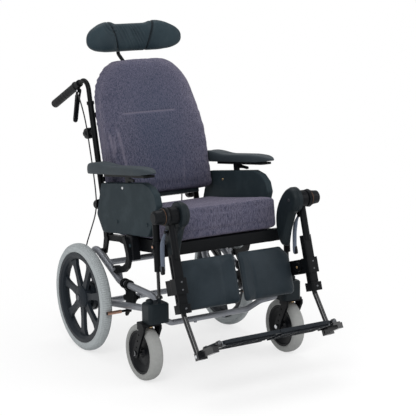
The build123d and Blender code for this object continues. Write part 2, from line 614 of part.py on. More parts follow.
plan = make_face(Wire([
    ThreePointArc((-196, -56, 0), (0, -31, 0), (196, -56, 0)),
    ThreePointArc((196, -56, 0), (201, -38, 0), (192, -22, 0)),
    ThreePointArc((192, -22, 0), (0, 17, 0), (-192, -22, 0)),
    ThreePointArc((-192, -22, 0), (-201, -38, 0), (-196, -56, 0))]))
pad_body = extrude(plan, amount=120)
outline = Polyline((-150, 4), (-70, 4), (-56, 14), (56, 14), (70, 4), (150, 4), (188, 18), (200, 52), (190, 92),
                   (164, 112), (110, 116), (60, 106), (-60, 106), (-110, 116), (-164, 112), (-190, 92),
                   (-200, 52), (-188, 18), close=True)
front_face = Plane(origin=(0, 60, 0), x_dir=(1, 0, 0), z_dir=(0, -1, 0)) * make_face(outline)
pad_body = pad_body & extrude(front_face, amount=160)
try:
    pad_body = fillet(pad_body.edges(), 6)
except ValueError:
    print("headrest edges stay sharp")
HEAD_TILT = Location((0, AXLE_Y + 175, 1080), (-2, 0, 0))
HEAD_PIVOT = BACK * Pos(0, 34, HEAD_AXIS[1])
pivot_y, pivot_z = HEAD_PIVOT.position.Y, HEAD_PIVOT.position.Z
head_lugs = [link([(pivot_y, pivot_z, 11), (pivot_y - 14, pivot_z, 11)], x0, x1) for x0, x1 in ((16.5, 22), (-22, -16.5))]
head_plate = block(-34, 34, pivot_y - 24, pivot_y - 14.5, pivot_z - 26, pivot_z + 26)
head_pin = axis_rod(-22, 22, pivot_y, pivot_z, 3)
headrest = HEAD_TILT * pad_body
headrest = headrest + join([head_plate, head_pin] + head_lugs)
print("headrest pivot", pivot_y - AXLE_Y, pivot_z)
save("headrest_pad", headrest)


# ---------------------------------------------------------------- leg rests
LEG_X = 266.0
RAIL_KY = 18.0            # centre line of the foot tube inside the leg profile
FOOT_R = 9.0
HINGE_X = 232.0


def mirrored(body, s):
    """The left piece, or its mirror image for the right."""
    return body if s > 0 else mirror(body, about=Plane.YZ)


def leg_hanger():
    hub = spin([(246.5, 6 + RUN), (246.5, 26), (250, 30), (276, 30), (280, 26), (280, 6 + RUN)], 0, 0)
    post = rod((LEG_X, 5, -16), (LEG_X, 7, -145), TUBE_R)
    rail_bar = block(252, 284, 2, 34, -312, -128)
    rail_bar = chamfer(rail_bar.edges().filter_by(Axis.Z), 4)
    for x in (252, 284):
        rail_bar = rail_bar - block(x - 2.5, x + 2.5, 14, 22, -286, -136)
    clamp = fillet(block(246, 290, -6, 42, -326, -296).edges().filter_by(Axis.Z), 8)
    lug = block(262, 269.5, 10, 38, -62, -40)
    lug_pin = axis_rod(264, 282, 30, -50, 4)
    bore = rod((LEG_X + 2, RAIL_KY, -340), (LEG_X + 2, RAIL_KY, -150), FOOT_R + RUN)
    knee = axis_rod(240, 290, 0, 0, 6 + RUN)
    return join([hub, post, rail_bar, clamp, lug, lug_pin]) - bore - knee


def release_lever():
    blade = link([(30, -50, 9), (58, -66, 8), (78, -100, 8), (92, -136, 8), (104, -182, 7)], 270.5, 278.5)
    return blade - axis_rod(260, 290, 30, -50, 4 + RUN)


def knee_knob():
    body = spin([(281, 6 + RUN), (281, 24), (284, 30), (294, 32), (297, 27), (304, 27), (306, 25), (330, 23),
                 (335, 17), (335, 0), (301, 0), (301, 6 + RUN)], 0, 0)
    for n in range(12):
        groove = Rot(30 * n, 0, 0) * Pos(0, 0, 26.5) * axis_rod(308, 340, 0, 0, 3)
        body = body - groove
    return body


def calf_pad():
    outline = make_face(Wire([
        ThreePointArc((10, 52, 0), (35, 61.5, 0), (62, 67, 0)),
        ThreePointArc((62, 67, 0), (140, 70, 0), (232, 84, 0)),
        ThreePointArc((232, 84, 0), (241, 97, 0), (238, 114, 0)),
        Line((238, 114, 0), (66, 94, 0)),
        Line((66, 94, 0), (14, 79, 0)),
        ThreePointArc((14, 79, 0), (7, 66, 0), (10, 52, 0))]))
    pad = Pos(0, 0, -326) * extrude(outline, amount=178)
    corner = make_face(Polyline((200, 0, -140), (260, 0, -140), (260, 0, -208), close=True))
    pad = pad - Pos(0, 40, 0) * extrude(corner, amount=120, dir=(0, 1, 0))
    return fillet(pad.edges(), 8)


def calf_bracket():
    outline = make_face(Polyline((252, 36, 0), (252, 116, 0), (104, 99, 0), (104, 104, 0), (258, 122, 0),
                                 (264, 114, 0), (264, 36, 0), close=True))
    arm = Pos(0, 0, -262) * extrude(outline, amount=52)
    arm = arm - block(222, 240, 80, 140, -240, -231)
    collar = block(246, 290, -4, 40, -262, -208)
    collar = fillet(collar.edges().filter_by(Axis.Z), 6)
    joint = axis_rod(240, 252, 62, -235, 18)
    hole = chamfer(block(252 - SLIDE, 284 + SLIDE, 2 - SLIDE, 34 + SLIDE, -280, -190).edges().filter_by(Axis.Z), 4)
    return join([arm, collar, joint]) - hole


def foot_tube():
    stem_bar = tube([(LEG_X + 2, RAIL_KY, -170), (LEG_X + 2, RAIL_KY, -332), (LEG_X + 2, -32, -470)], 30, FOOT_R)
    return stem_bar


def foot_bracket():
    """In the footplate's frame: carries the hinge pin outboard of the plate."""
    body = block(242, 262, -102, -14, -34, -9)
    outer = block(242, 276, -34, -10, -40, -14)
    lugs = []
    for y0, y1 in ((-112, -100.5), (-24.5, -13)):
        lugs.append(block(HINGE_X - 8, HINGE_X + 30, y0, y1, -34, -14) - block(HINGE_X - 9, HINGE_X + 8, y0 - 1, y1 + 1, -35, -20))
        lugs.append(rod((HINGE_X, y0, -6), (HINGE_X, y1, -6), 9))
        lugs.append(block(HINGE_X, HINGE_X + 9, y0, y1, -20, -6))
    pin = rod((HINGE_X, -112, -6), (HINGE_X, -13, -6), 4)
    return join([body, outer] + lugs + [pin])


def footplate():
    outline = Polyline((1.5, 0), (1.5, -125), (188, -125), (212, -114), (222, -92), (222, 0), close=True)
    face = Plane(origin=(0, 0, -12)) * make_face(outline)
    board = extrude(face, amount=12)
    board = chamfer(board.edges().group_by(Axis.Z)[-1], 2)
    ribs = [block(12, 206, y, y + 4, -18, -11) for y in (-112, -88, -64, -40, -16)]
    spine = [block(x, x + 4, -114, -10, -18, -11) for x in (20, 80, 140, 200)]
    knuckle = rod((HINGE_X, -100, -6), (HINGE_X, -25, -6), 7)
    web = block(218, HINGE_X, -100, -25, -12, -1)
    hole = rod((HINGE_X, -130, -6), (HINGE_X, 10, -6), 4 + RUN)
    return join([board, knuckle, web] + ribs + spine) - hole


hanger, lever_piece, knob = leg_hanger(), release_lever(), knee_knob()
pad_piece, arm_piece = calf_pad(), calf_bracket()
foot_piece = foot_tube()
FOOT_IN_LEG = Location((0, -8, -448), (-9, 0, 0))
foot_piece = foot_piece + FOOT_IN_LEG * foot_bracket()
plate_piece = footplate()
for name, s in SIDES:
    save(f"leg_hanger_{name}", LEG * mirrored(hanger, s))
    save(f"release_lever_{name}", LEG * mirrored(lever_piece, s))
    save(f"knee_knob_{name}", LEG * mirrored(knob, s))
    save(f"calf_pad_{name}", LEG * mirrored(pad_piece, s))
    save(f"calf_bracket_{name}", LEG * mirrored(arm_piece, s))
    save(f"foot_tube_{name}", LEG * mirrored(foot_piece, s))
    save(f"footplate_{name}", FOOT * mirrored(plate_piece, s))


# ---------------------------------------------------------------- push handles
def back_local(y, z):
    """Rear-axle (y, z) in the back's own frame."""
    c, n = cos(radians(BACK_LEAN)), sin(radians(BACK_LEAN))
    dy, dz = y - 5, z - 448
    return dy * c - dz * n, dy * n + dz * c


BEND = back_local(141, 996.5)
GRIP_END = back_local(422, 868)
GRIP_START = point_on(BEND, GRIP_END, 104)
LEVER_AT = point_on(BEND, GRIP_END, 88)


def push_handle():
    x = UPRIGHT_X
    bar = tube([(x, 0, 110), (x, 0, BEND[1]), (x, *GRIP_END)], 38, HANDLE_R)
    grip = rod((x, *GRIP_START), (x, *GRIP_END), 16)
    grip = fillet(grip.edges(), 4)
    for n in range(7):
        lo = point_on(GRIP_START, GRIP_END, 14 + 24.0 * n)
        hi = point_on(GRIP_START, GRIP_END, 17 + 24.0 * n)
        grip = grip - (rod((x, *lo), (x, *hi), 20) - rod((x, *lo), (x, *hi), 14.8))
    clamp = rod((x, *point_on(BEND, GRIP_END, 66)), (x, *point_on(BEND, GRIP_END, 98)), 14)
    ear = link([(LEVER_AT[0] - 2, LEVER_AT[1] - 10, 8), (LEVER_AT[0] - 6, LEVER_AT[1] - 22, 7)], x - 4, x + 4)
    pin = axis_rod(x - 9, x + 9, LEVER_AT[0] - 6, LEVER_AT[1] - 22, 3)
    return join([bar, grip, clamp, ear, pin])


def brake_lever():
    x = UPRIGHT_X
    y, z = LEVER_AT[0] - 6, LEVER_AT[1] - 22
    cheeks = [link([(y, z, 6), (y + 16, z - 22, 6)], x0, x1) for x0, x1 in ((x - 8, x - 4.5), (x + 4.5, x + 8))]
    handle_bar = link([(y + 16, z - 20, 7), (y + 34, z - 52, 5.5), (y + 60, z - 100, 5)], x - 8, x + 8)
    ball = Pos(x, y + 62, z - 104) * Sphere(9)
    body = join(cheeks + [handle_bar, ball])
    return body - axis_rod(x - 12, x + 12, y, z, 3 + RUN)


def handle_knob():
    x = UPRIGHT_X
    shaft = rod((x, 13, KNOB_Z), (x, 44, KNOB_Z), 4)
    head = rod((x, 32, KNOB_Z), (x, 58, KNOB_Z), 21)
    head = chamfer(head.edges(), 3)
    for n in range(6):
        head = head - Pos(x, 0, KNOB_Z) * Rot(0, 60 * n, 0) * Pos(0, 0, 25) * rod((0, 20, 0), (0, 70, 0), 6.5)
    return join([shaft, head])


for name, s in SIDES:
    save(f"push_handle_{name}", BACK * mirrored(push_handle(), s))
    save(f"brake_lever_{name}", BACK * mirrored(brake_lever(), s))
    save(f"handle_knob_{name}", BACK * mirrored(handle_knob(), s))


# ---------------------------------------------------------------- cables
def cable(points, r, label):
    """Round cable: straight runs joined by arcs as large as the runs allow."""
    radii = []
    length = 0.0
    for before, corner, after in zip(points, points[1:], points[2:]):
        into, out = Vector(*corner) - Vector(*before), Vector(*after) - Vector(*corner)
        turn = radians(into.get_angle(out))
        radii.append(0.45 * min(into.length, out.length) / tan(turn / 2))
    path = FilletPolyline(*points, radius=radii)
    run = Vector(*points[1]) - Vector(*points[0])
    body = sweep(Plane(origin=Vector(*points[0]), z_dir=run) * Circle(r), path=path)
    length = path.length
    print(label, "radii", [round(v) for v in radii], "length", round(length),
          "volume ratio", round(body.volume / (length * pi * r * r), 4), "valid", body.is_valid)
    return body


def brake_route(s):
    head = BACK * Pos(s * (UPRIGHT_X + 8), LEVER_AT[0] - 12, LEVER_AT[1] - 40)
    points = [(head.position.X, head.position.Y, head.position.Z)]
    for x, by, bz in ((220, 22, 440), (220, 14, 300), (220, 12, 150), (222, 22, 70)):
        p = (BACK * Pos(s * x, by, bz)).position
        points.append((p.X, p.Y, p.Z))
    points.extend([(s * 228, AXLE_Y + 76, 440), (s * 260, AXLE_Y + 84, 344), (s * 268, AXLE_Y + 38.5, REAR_R + 69)])
    return points


save("brake_cables", *[cable(brake_route(s), 2.5, "brake cable") for _, s in SIDES])


def release_route(s):
    points = []
    for x, by, bz in ((164, -14.8, 409.7), (164, 6, 320), (164, 20, 220), (150, 32, 30)):
        p = (BACK * Pos(s * x, by, bz)).position
        points.append((p.X, p.Y, p.Z))
    for x, y, z in ((60, 458, -42), (54, 380, -50), (42, 300, -16.8), (40, 240, -16.8)):
        p = (SEAT * Pos(s * x, y, z)).position
        points.append((p.X, p.Y, p.Z))
    return points


save("release_cables", *[cable(release_route(s), 2.5, "release cable") for _, s in SIDES])

bolts = []
for s in (1, -1):
    for y in (110, 330):
        bolts.append(SEAT * Pos(s * 243.5, y, 60) * Rot(0, 90, 0) * Cylinder(6, 3))
    bolts.append(SEAT * axis_rod(s * 246.2, s * 250, 236, -20, 6))
save("frame_bolts", *bolts)
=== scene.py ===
# %% [markdown]
# # A tilt in space wheelchair, dressed
# The chair comes from its CAD model as sixty solids in metres, standing on the floor and
# facing -Y. This lesson gives each solid its finish, and makes again what CAD draws stiffly:
# the cushions, the pads, the knee covers, the release levers, the cables, the grips and the
# small bright fittings.

# %% Load the model
import math

import bpy
import numpy as np
from mathutils import Matrix, Vector


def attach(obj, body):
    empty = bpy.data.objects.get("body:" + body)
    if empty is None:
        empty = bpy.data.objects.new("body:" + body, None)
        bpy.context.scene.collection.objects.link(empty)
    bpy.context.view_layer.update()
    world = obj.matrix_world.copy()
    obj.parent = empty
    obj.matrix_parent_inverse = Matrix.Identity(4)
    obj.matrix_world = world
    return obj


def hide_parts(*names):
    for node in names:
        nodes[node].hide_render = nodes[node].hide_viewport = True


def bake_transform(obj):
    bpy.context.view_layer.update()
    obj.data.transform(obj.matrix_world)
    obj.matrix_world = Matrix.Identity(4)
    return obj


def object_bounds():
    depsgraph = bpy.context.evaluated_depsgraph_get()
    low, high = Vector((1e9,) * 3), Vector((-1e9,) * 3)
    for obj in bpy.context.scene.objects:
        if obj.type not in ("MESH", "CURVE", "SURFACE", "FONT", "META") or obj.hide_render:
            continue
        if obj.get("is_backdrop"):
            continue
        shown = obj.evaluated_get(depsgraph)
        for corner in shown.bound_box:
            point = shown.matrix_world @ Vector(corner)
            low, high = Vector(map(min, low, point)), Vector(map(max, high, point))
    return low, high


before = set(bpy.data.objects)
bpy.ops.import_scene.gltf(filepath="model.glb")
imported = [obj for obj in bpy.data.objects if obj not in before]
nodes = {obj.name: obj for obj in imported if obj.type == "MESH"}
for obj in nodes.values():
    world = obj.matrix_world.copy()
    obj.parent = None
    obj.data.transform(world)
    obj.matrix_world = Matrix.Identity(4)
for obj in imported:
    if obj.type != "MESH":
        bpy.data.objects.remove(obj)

cad_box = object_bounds()
print(len(nodes), "solids in the box", [[round(v, 3) for v in corner] for corner in cad_box])

# %% [markdown]
# ## Leaning frames
# The seat leans 7 degrees, the back 13.8 and the leg rests 17. It is easier to shape a pad
# in its own upright frame and lean it last, so each frame has a function that turns its
# millimetres into the chair's metres. A frame is its origin's Y and Z and its lean.

# %% Leaning frames
AXLE_Y = 203.4      # the rear wheels' axle
SEAT_FRAME = (AXLE_Y - 490, 484, 7)      # near the cushion's front bottom edge
BACK_FRAME = (AXLE_Y + 5, 448, 13.8)      # at the hinge of the back
LEG_FRAME = (AXLE_Y - 578, 600, 17)      # at the knee
FOOT_ON_LEG, FOOT_LEAN = (0, -8, -448), 26      # the foot plate's frame hangs on the leg's
SIDES = (("left", 1), ("right", -1))      # a side's name, and the sign of its X


def leaning(origin_y, origin_z, degrees):
    """Turns (x, y, z) by the lean about X, then adds the frame's origin; x stays as it is."""
    c, s = math.cos(math.radians(degrees)), math.sin(math.radians(degrees))

    def place(points):
        x, y, z = np.moveaxis(np.asarray(points, float), -1, 0)
        return np.stack([x, origin_y + y * c + z * s, origin_z - y * s + z * c], -1) / 1000

    return place


on_seat = leaning(*SEAT_FRAME)
on_back = leaning(*BACK_FRAME)
on_leg = leaning(*LEG_FRAME)
on_floor = leaning(AXLE_Y, 0, 0)
_, foot_y, foot_z = on_leg(FOOT_ON_LEG) * 1000
on_foot = leaning(foot_y, foot_z, FOOT_LEAN)
print("foot plate hinge at", on_foot((232, -60, -6)).round(3))

# %% [markdown]
# ## Camera
# The photograph was taken with a long lens from the chair's front right. Its place, turn and
# focal length were found by fitting one camera to the chair's straight lines and wheels.

# %% Camera
PIXELS = 416
FOCAL_PIXELS = 1358.72
SENSOR = 36
CAMERA_PLACE = (-2.4901, -4.1823, 1.5121)
azimuth, elevation, roll = (math.radians(angle) for angle in (-31.89, 11.37, -0.48))
flat_part = math.cos(elevation)
back_way = Vector((math.sin(azimuth) * flat_part, -math.cos(azimuth) * flat_part, math.sin(elevation)))
level = Vector((math.cos(azimuth), math.sin(azimuth), 0))
upright = back_way.cross(level)
right_way = level * math.cos(roll) + upright * math.sin(roll)
up_way = back_way.cross(right_way)
camera = bpy.data.objects.new("camera", bpy.data.cameras.new("camera"))
bpy.context.scene.collection.objects.link(camera)
camera.data.sensor_width = SENSOR
camera.data.lens = FOCAL_PIXELS / PIXELS * SENSOR
camera.data.clip_end = 100
turn = Matrix((right_way, up_way, back_way)).transposed().to_4x4()
camera.matrix_world = Matrix.Translation(CAMERA_PLACE) @ turn
bpy.context.scene.camera = camera
print("lens", round(camera.data.lens, 1), "mm")

# %% [markdown]
# ## Surfaces from grids
# Almost every piece here is a grid of points, worked out as whole arrays: rows along the
# piece and columns round it. One function turns a grid into a mesh of quads. It closes the
# ends, measures the volume that the faces enclose, and turns them round if it is negative,
# so that they always point outwards.

# %% Grid to mesh
pieces_made = {}


def wedge(first, second, third):
    """Six times the volume between triangles and the origin: first . (second x third), summed."""
    return (first * np.cross(second, third)).sum()


def grid_mesh(name, points, sharp=38):
    """Quads between neighbouring rows and columns. The columns close round, and one face closes
    each end. Edges that turn by more than sharp degrees stay sharp."""
    rows, columns = points.shape[:2]
    row = np.arange(rows - 1)[:, None] * columns
    here = np.arange(columns)[None, :]
    after = (here + 1) % columns
    quads = np.stack([row + here, row + after, row + columns + after, row + columns + here], -1)
    quads = quads.reshape(-1, 4)
    ends = [list(range(columns))[::-1], list(range((rows - 1) * columns, rows * columns))]
    flat = points.reshape(-1, 3)
    a, b, c, d = (flat[quads[:, k]] for k in range(4))
    volume = wedge(a, b, c) + wedge(a, c, d)
    volume += sum(wedge(flat[end[0]], flat[end[1:-1]], flat[end[2:]]) for end in ends)
    faces = quads.tolist() + ends
    if volume < 0:
        faces = [face[::-1] for face in faces]
    mesh = bpy.data.meshes.new(name)
    mesh.from_pydata(flat.tolist(), [], faces)
    mesh.shade_smooth()
    mesh.set_sharp_from_angle(angle=math.radians(sharp))
    return mesh


def piece(name, mesh, body, finish, replaces=()):
    """Puts a mesh into the scene with its finish, riding on a body of the chair."""
    made = bpy.data.objects.new(name, mesh)
    bpy.context.scene.collection.objects.link(made)
    mesh.materials.clear()
    mesh.materials.append(finish)
    if body:
        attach(made, body)
    if replaces:
        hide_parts(*replaces)
    pieces_made[name] = len(mesh.polygons)
    return made


def grid_piece(name, points, body, finish, slot, replaces=(), sharp=38):
    """A piece made straight from a grid of points."""
    return piece(name, grid_mesh(name, points, sharp), body, finish, replaces)


print("grid and piece helpers ready")

# %% [markdown]
# ## Shader maths
# A finish is a small tree of nodes. The class below wraps one output of a node, so that
# `1 - mask * 0.5` in Python adds the Math nodes that work it out in the shader. Any other
# node comes from one method, `node`, which takes its type, its settings and its inputs.

# %% Shader helper
class Wire:
    """A number or colour that flows between nodes; + - * / and ** on it add Math nodes."""

    def __init__(self, finish, socket):
        self.finish, self.socket = finish, socket

    def maths(self, operation, *values):
        return self.finish.node("ShaderNodeMath", {"operation": operation}, dict(enumerate(values)))

    def __add__(self, other):
        return self.maths("ADD", self, other)

    def __sub__(self, other):
        return self.maths("SUBTRACT", self, other)

    def __rsub__(self, other):
        return self.maths("SUBTRACT", other, self)

    def __mul__(self, other):
        return self.maths("MULTIPLY", self, other)

    def __truediv__(self, other):
        return self.maths("DIVIDE", self, other)

    def __pow__(self, other):
        return self.maths("POWER", self, other)

    __radd__, __rmul__ = __add__, __mul__


class Finish:
    """One material: a Principled shader whose even values are set on its own sockets."""

    def __init__(self, name, **even):
        self.material = bpy.data.materials.new(name)
        self.material.use_nodes = True
        self.tree = self.material.node_tree
        self.shader = self.tree.nodes["Principled BSDF"]
        for socket, value in even.items():
            self.shader.inputs[socket.replace("_", " ")].default_value = value
        self.place = self.node("ShaderNodeTexCoord", out="Object")

    def node(self, kind, settings=None, inputs=None, out=0):
        """Adds a node: its settings first, then the values or links of its sockets."""
        made = self.tree.nodes.new(kind)
        for key, value in (settings or {}).items():
            setattr(made, key, value)
        for key, value in (inputs or {}).items():
            if isinstance(value, Wire):
                self.tree.links.new(value.socket, made.inputs[key])
            else:
                made.inputs[key].default_value = value
        return Wire(self, made.outputs[out])

    def stretched(self, scale, turn=(0, 0, 0)):
        """Object coordinates, turned and then multiplied along each axis."""
        inputs = {"Vector": self.place, "Rotation": turn, "Scale": scale}
        return self.node("ShaderNodeMapping", None, inputs)

    def noise(self, scale, detail=3, rough=0.55, place=None):
        inputs = {"Vector": place or self.place, "Scale": scale, "Detail": detail, "Roughness": rough}
        return self.node("ShaderNodeTexNoise", None, inputs)

    def between(self, value, low, high):
        """0 below low, 1 above high, smooth between."""
        steps = {"interpolation_type": "SMOOTHSTEP"}
        return self.node("ShaderNodeMapRange", steps, {0: value, 1: low, 2: high})

    def mix(self, mask, first, second):
        """The first colour where the mask is 0, the second where it is 1."""
        colours = [v if isinstance(v, Wire) else (*v, 1) for v in (first, second)]
        inputs = {0: mask, 6: colours[0], 7: colours[1]}
        return self.node("ShaderNodeMix", {"data_type": "RGBA"}, inputs, out=2)

    def attribute(self, name):
        """A number stored at each point of the mesh; 0 where a mesh has none of that name."""
        return self.node("ShaderNodeAttribute", {"attribute_name": name}, out="Fac")

    def bump(self, height, distance, strength):
        inputs = {"Height": height, "Distance": distance, "Strength": strength}
        return self.node("ShaderNodeBump", None, inputs)

    def end(self, **links):
        """Connects what varies over the surface."""
        for socket, value in links.items():
            self.tree.links.new(value.socket, self.shader.inputs[socket.replace("_", " ")])
        return self.material


print("shader helper ready")

# %% [markdown]
# ## Velour
# The cushions wear a furniture velour: short pile in a slate purple, woven from two shades of
# yarn, so that close by it looks heathered. Pile leans and catches the light in broad soft
# patches. Painted shade makes the middle of the back bluer and darker. A painted sheen makes
# the seat pale along its top edges, and the back is painted paler along its sewn line and
# creases.

# %% Velour
def velour():
    """Two upright stretched noises are the yarns, a fine one the flecks, a broad one the nap."""
    cloth = Finish("velour", Roughness=0.95, Sheen_Weight=0.35, Sheen_Roughness=0.4,
                   Sheen_Tint=(0.7, 0.62, 0.76, 1), Specular_IOR_Level=0.12)
    streak = cloth.between(cloth.noise(1, 2, 0.7, cloth.stretched((340, 340, 62))), 0.37, 0.63)
    yarn = cloth.between(cloth.noise(1, 2, 0.6, cloth.stretched((640, 640, 210))), 0.38, 0.62)
    fleck = cloth.between(cloth.noise(300, 2, 0.6), 0.46, 0.7)
    nap = cloth.between(cloth.noise(7, 3, 0.5, cloth.stretched((1.5, 1, 0.7))), 0.35, 0.7)
    base = cloth.mix(streak * 0.62 + yarn * 0.38, (0.015, 0.020, 0.043), (0.133, 0.127, 0.178))
    base = cloth.mix(fleck * 0.28, base, (0.175, 0.160, 0.210))
    base = cloth.mix(nap * 0.22, base, (0.050, 0.056, 0.100))
    # painted shade: the middle of the back is mixed towards a darker blue
    base = cloth.mix(cloth.attribute("crushed") * 0.5, base, (0.034, 0.052, 0.090))
    # painted sheen: pale along the seat's top edges; the back is also painted paler along its sewn line and
    # creases
    base = cloth.mix(cloth.attribute("seam"), base, (0.24, 0.215, 0.275))
    pile = cloth.noise(640, 3, 0.7)
    normal = cloth.bump(pile + yarn * 0.5 + streak * 0.9 + nap * 0.6, 0.0014, 0.8)
    return cloth.end(Base_Color=base, Normal=normal)


velour_cloth = velour()
print("velour:", len(velour_cloth.node_tree.nodes), "nodes")

# %% [markdown]
# ## Coated cloth and soft foam
# The headrest and the calf pads have a wipe-clean cover, a dark teal with fine leather grain
# and soft gloss. The grain is a Voronoi pattern whose cells stand up from narrow valleys. The
# arm pads are bare self-skinned foam, the same colour with a finer, duller skin.

# %% Coated cloth and foam
def tinted(colour, times, plus=0):
    """A colour with each channel multiplied, and a little added to it."""
    return tuple(v * times + plus for v in colour)


def grained(name, dark, light, grain, roughness, gloss=0.12):
    """Leather grain from cells and a fine noise; cloudy colour, worn paler in places, and painted shade
    near black along seams and wrinkles.
    """
    skin = Finish(name, Specular_IOR_Level=gloss, Sheen_Weight=0.05, Sheen_Roughness=0.5,
                  Sheen_Tint=(0.7, 0.78, 0.82, 1))
    cell = skin.node("ShaderNodeTexVoronoi", None, {"Vector": skin.place, "Scale": grain})
    fine = skin.noise(grain * 1.7, 3, 0.6)
    cloud = skin.between(skin.noise(11, 3, 0.5), 0.3, 0.7)
    worn = skin.between(skin.noise(38, 4, 0.65), 0.56, 0.75)
    base = skin.mix(cloud, dark, light)
    base = skin.mix(cell * 0.3, base, tinted(light, 1.6))
    base = skin.mix(worn * 0.12, base, tinted(light, 2.2))
    # painted shade: near black along seams, in the headrest's wrinkle troughs and along the calf pads'
    # welts
    base = skin.mix(skin.attribute("seam"), base, (0.004, 0.006, 0.008))
    rough = worn * 0.1 + cloud * 0.08 + roughness
    normal = skin.bump((1 - cell) * 0.7 + fine * 0.4, 0.0006, 0.55)
    return skin.end(Base_Color=base, Roughness=rough, Normal=normal)


headrest_cover = grained("headrest_cover", (0.013, 0.023, 0.030), (0.021, 0.034, 0.042), 520, 0.42)
pad_cover = grained("pad_cover", (0.010, 0.016, 0.021), (0.019, 0.027, 0.034), 480, 0.40)
arm_foam = grained("arm_foam", (0.022, 0.029, 0.034), (0.031, 0.040, 0.047), 950, 0.52, 0.16)
print("grained finishes ready")

# %% [markdown]
# ## Moulded plastic
# Side panels, hub covers and knobs are moulded in a spark-eroded tool, which leaves an even
# fine grain. Handling polishes it in places and dust settles in the grain, so roughness and
# colour wander a little.

# %% Moulded plastic
def moulded(name, base, grain=900, roughness=0.46, depth=0.00025, lift=1.35, gloss=0.12):
    """Even grain; rubbed places are lifted in colour and smoother, dust and scratches paler."""
    plastic = Finish(name, Specular_IOR_Level=gloss)
    tool = plastic.noise(grain, 2, 0.5)
    rubbed = plastic.between(plastic.noise(16, 4, 0.6), 0.42, 0.7)
    dust = plastic.between(plastic.noise(60, 5, 0.7), 0.55, 0.8)
    along_scratch = plastic.stretched((40, 300, 60), (0.3, 0.2, 0.5))
    scratch = plastic.between(plastic.noise(1, 2, 0.5, along_scratch), 0.69, 0.72)
    colour = plastic.mix(rubbed * 0.5, base, tinted(base, lift))
    colour = plastic.mix(dust * 0.12, colour, tinted(base, 2, 0.02))
    colour = plastic.mix(scratch * 0.2, colour, tinted(base, 2.4, 0.01))
    rough = dust * 0.12 + roughness - rubbed * 0.08
    normal = plastic.bump(tool + dust * 0.3, depth, 0.7)
    return plastic.end(Base_Color=colour, Roughness=rough, Normal=normal)


panel_plastic = moulded("panel_plastic", (0.021, 0.031, 0.037), 700, 0.5, 0.0003, gloss=0.06)
black_plastic = moulded("black_plastic", (0.0045, 0.0052, 0.0065), 900, 0.42)
cover_plastic = moulded("cover_plastic", (0.010, 0.0145, 0.0175), 800, 0.45)
wheel_plastic = moulded("wheel_plastic", (0.014, 0.018, 0.023), 800, 0.44)
lever_plastic = moulded("lever_plastic", (0.105, 0.125, 0.165), 900, 0.4, 0.0002, 1.15)
plate_plastic = moulded("plate_plastic", (0.010, 0.013, 0.017), 420, 0.5, 0.0006)
print("moulded finishes ready")

# %% [markdown]
# ## Coated and bright metal
# The chassis is grey metallic powder coat, the seat and back frame black. Powder melts into
# a skin with a slight orange peel, and the coat over it gives the sharper gloss. Bright parts
# are plated: they reflect, and fine lines from turning stretch their highlights.

# %% Coated metal
def coated(name, base, metallic, roughness, peel=260, coat=0.25, gloss=0.5):
    """Orange peel from a low noise; fine flakes, a dull haze, and small chips that go deeper."""
    paint = Finish(name, Metallic=metallic, Coat_Weight=coat, Coat_Roughness=0.22,
                   Specular_IOR_Level=gloss)
    flake = paint.noise(2600, 1, 0.5)
    skin = paint.noise(peel, 2, 0.5)
    haze = paint.between(paint.noise(14, 4, 0.6), 0.35, 0.72)
    chip = paint.between(paint.noise(120, 4, 0.7), 0.70, 0.735)
    colour = paint.mix(flake * 0.35, base, tinted(base, 1.5))
    colour = paint.mix(haze * 0.35, colour, tinted(base, 0.75))
    colour = paint.mix(chip * 0.5, colour, tinted(base, 1.6, 0.015))
    rough = haze * 0.12 + chip * 0.15 + roughness
    normal = paint.bump(skin - chip * 0.6, 0.0003, 0.5)
    return paint.end(Base_Color=colour, Roughness=rough, Normal=normal)


def plated(name, base, roughness):
    """Fine lines from turning, a noise stretched along X, under patches of stain."""
    metal = Finish(name, Metallic=1.0)
    lines = metal.noise(1, 2, 0.6, metal.stretched((30, 900, 900)))
    stain = metal.between(metal.noise(45, 4, 0.65), 0.45, 0.75)
    colour = metal.mix(stain * 0.45, base, tinted(base, 0.62))
    colour = metal.mix(lines * 0.25, colour, tinted(base, 1.25))
    rough = lines * 0.16 + stain * 0.12 + roughness
    return metal.end(Base_Color=colour, Roughness=rough, Normal=metal.bump(lines, 0.00008, 0.6))


grey_coat = coated("grey_coat", (0.20, 0.21, 0.235), 0.5, 0.32)
black_coat = coated("black_coat", (0.0042, 0.0048, 0.0058), 0.0, 0.38, coat=0.015, gloss=0.09)
dark_gloss = coated("dark_gloss", (0.006, 0.0065, 0.008), 0.0, 0.16, 90, 0.2, 0.35)
bright_steel = plated("bright_steel", (0.62, 0.63, 0.65), 0.2)
dark_steel = plated("dark_steel", (0.13, 0.135, 0.145), 0.3)
copper_plate = plated("copper_plate", (0.40, 0.24, 0.18), 0.34)
bronze_ring = plated("bronze_ring", (0.13, 0.075, 0.05), 0.4)
brass_plate = plated("brass_plate", (0.55, 0.38, 0.20), 0.3)
print("metal finishes ready")

# %% [markdown]
# ## Tyres and rubber
# The tyres are solid grey rubber. The rear ones carry fine cross ribs, about as wide as they
# are apart. The angle about the axle comes from the arctangent of height over depth, and a
# sine of it, 150 waves a turn, makes the ribs on the tread only; painted shade darkens the
# grooves between them. Rubber greys with dust.

# %% Tyres and rubber
RIBS = 150
REAR_AXLE_Z = 200
TREAD = (0.186, 0.193)      # the radii between which the ribs rise, in metres


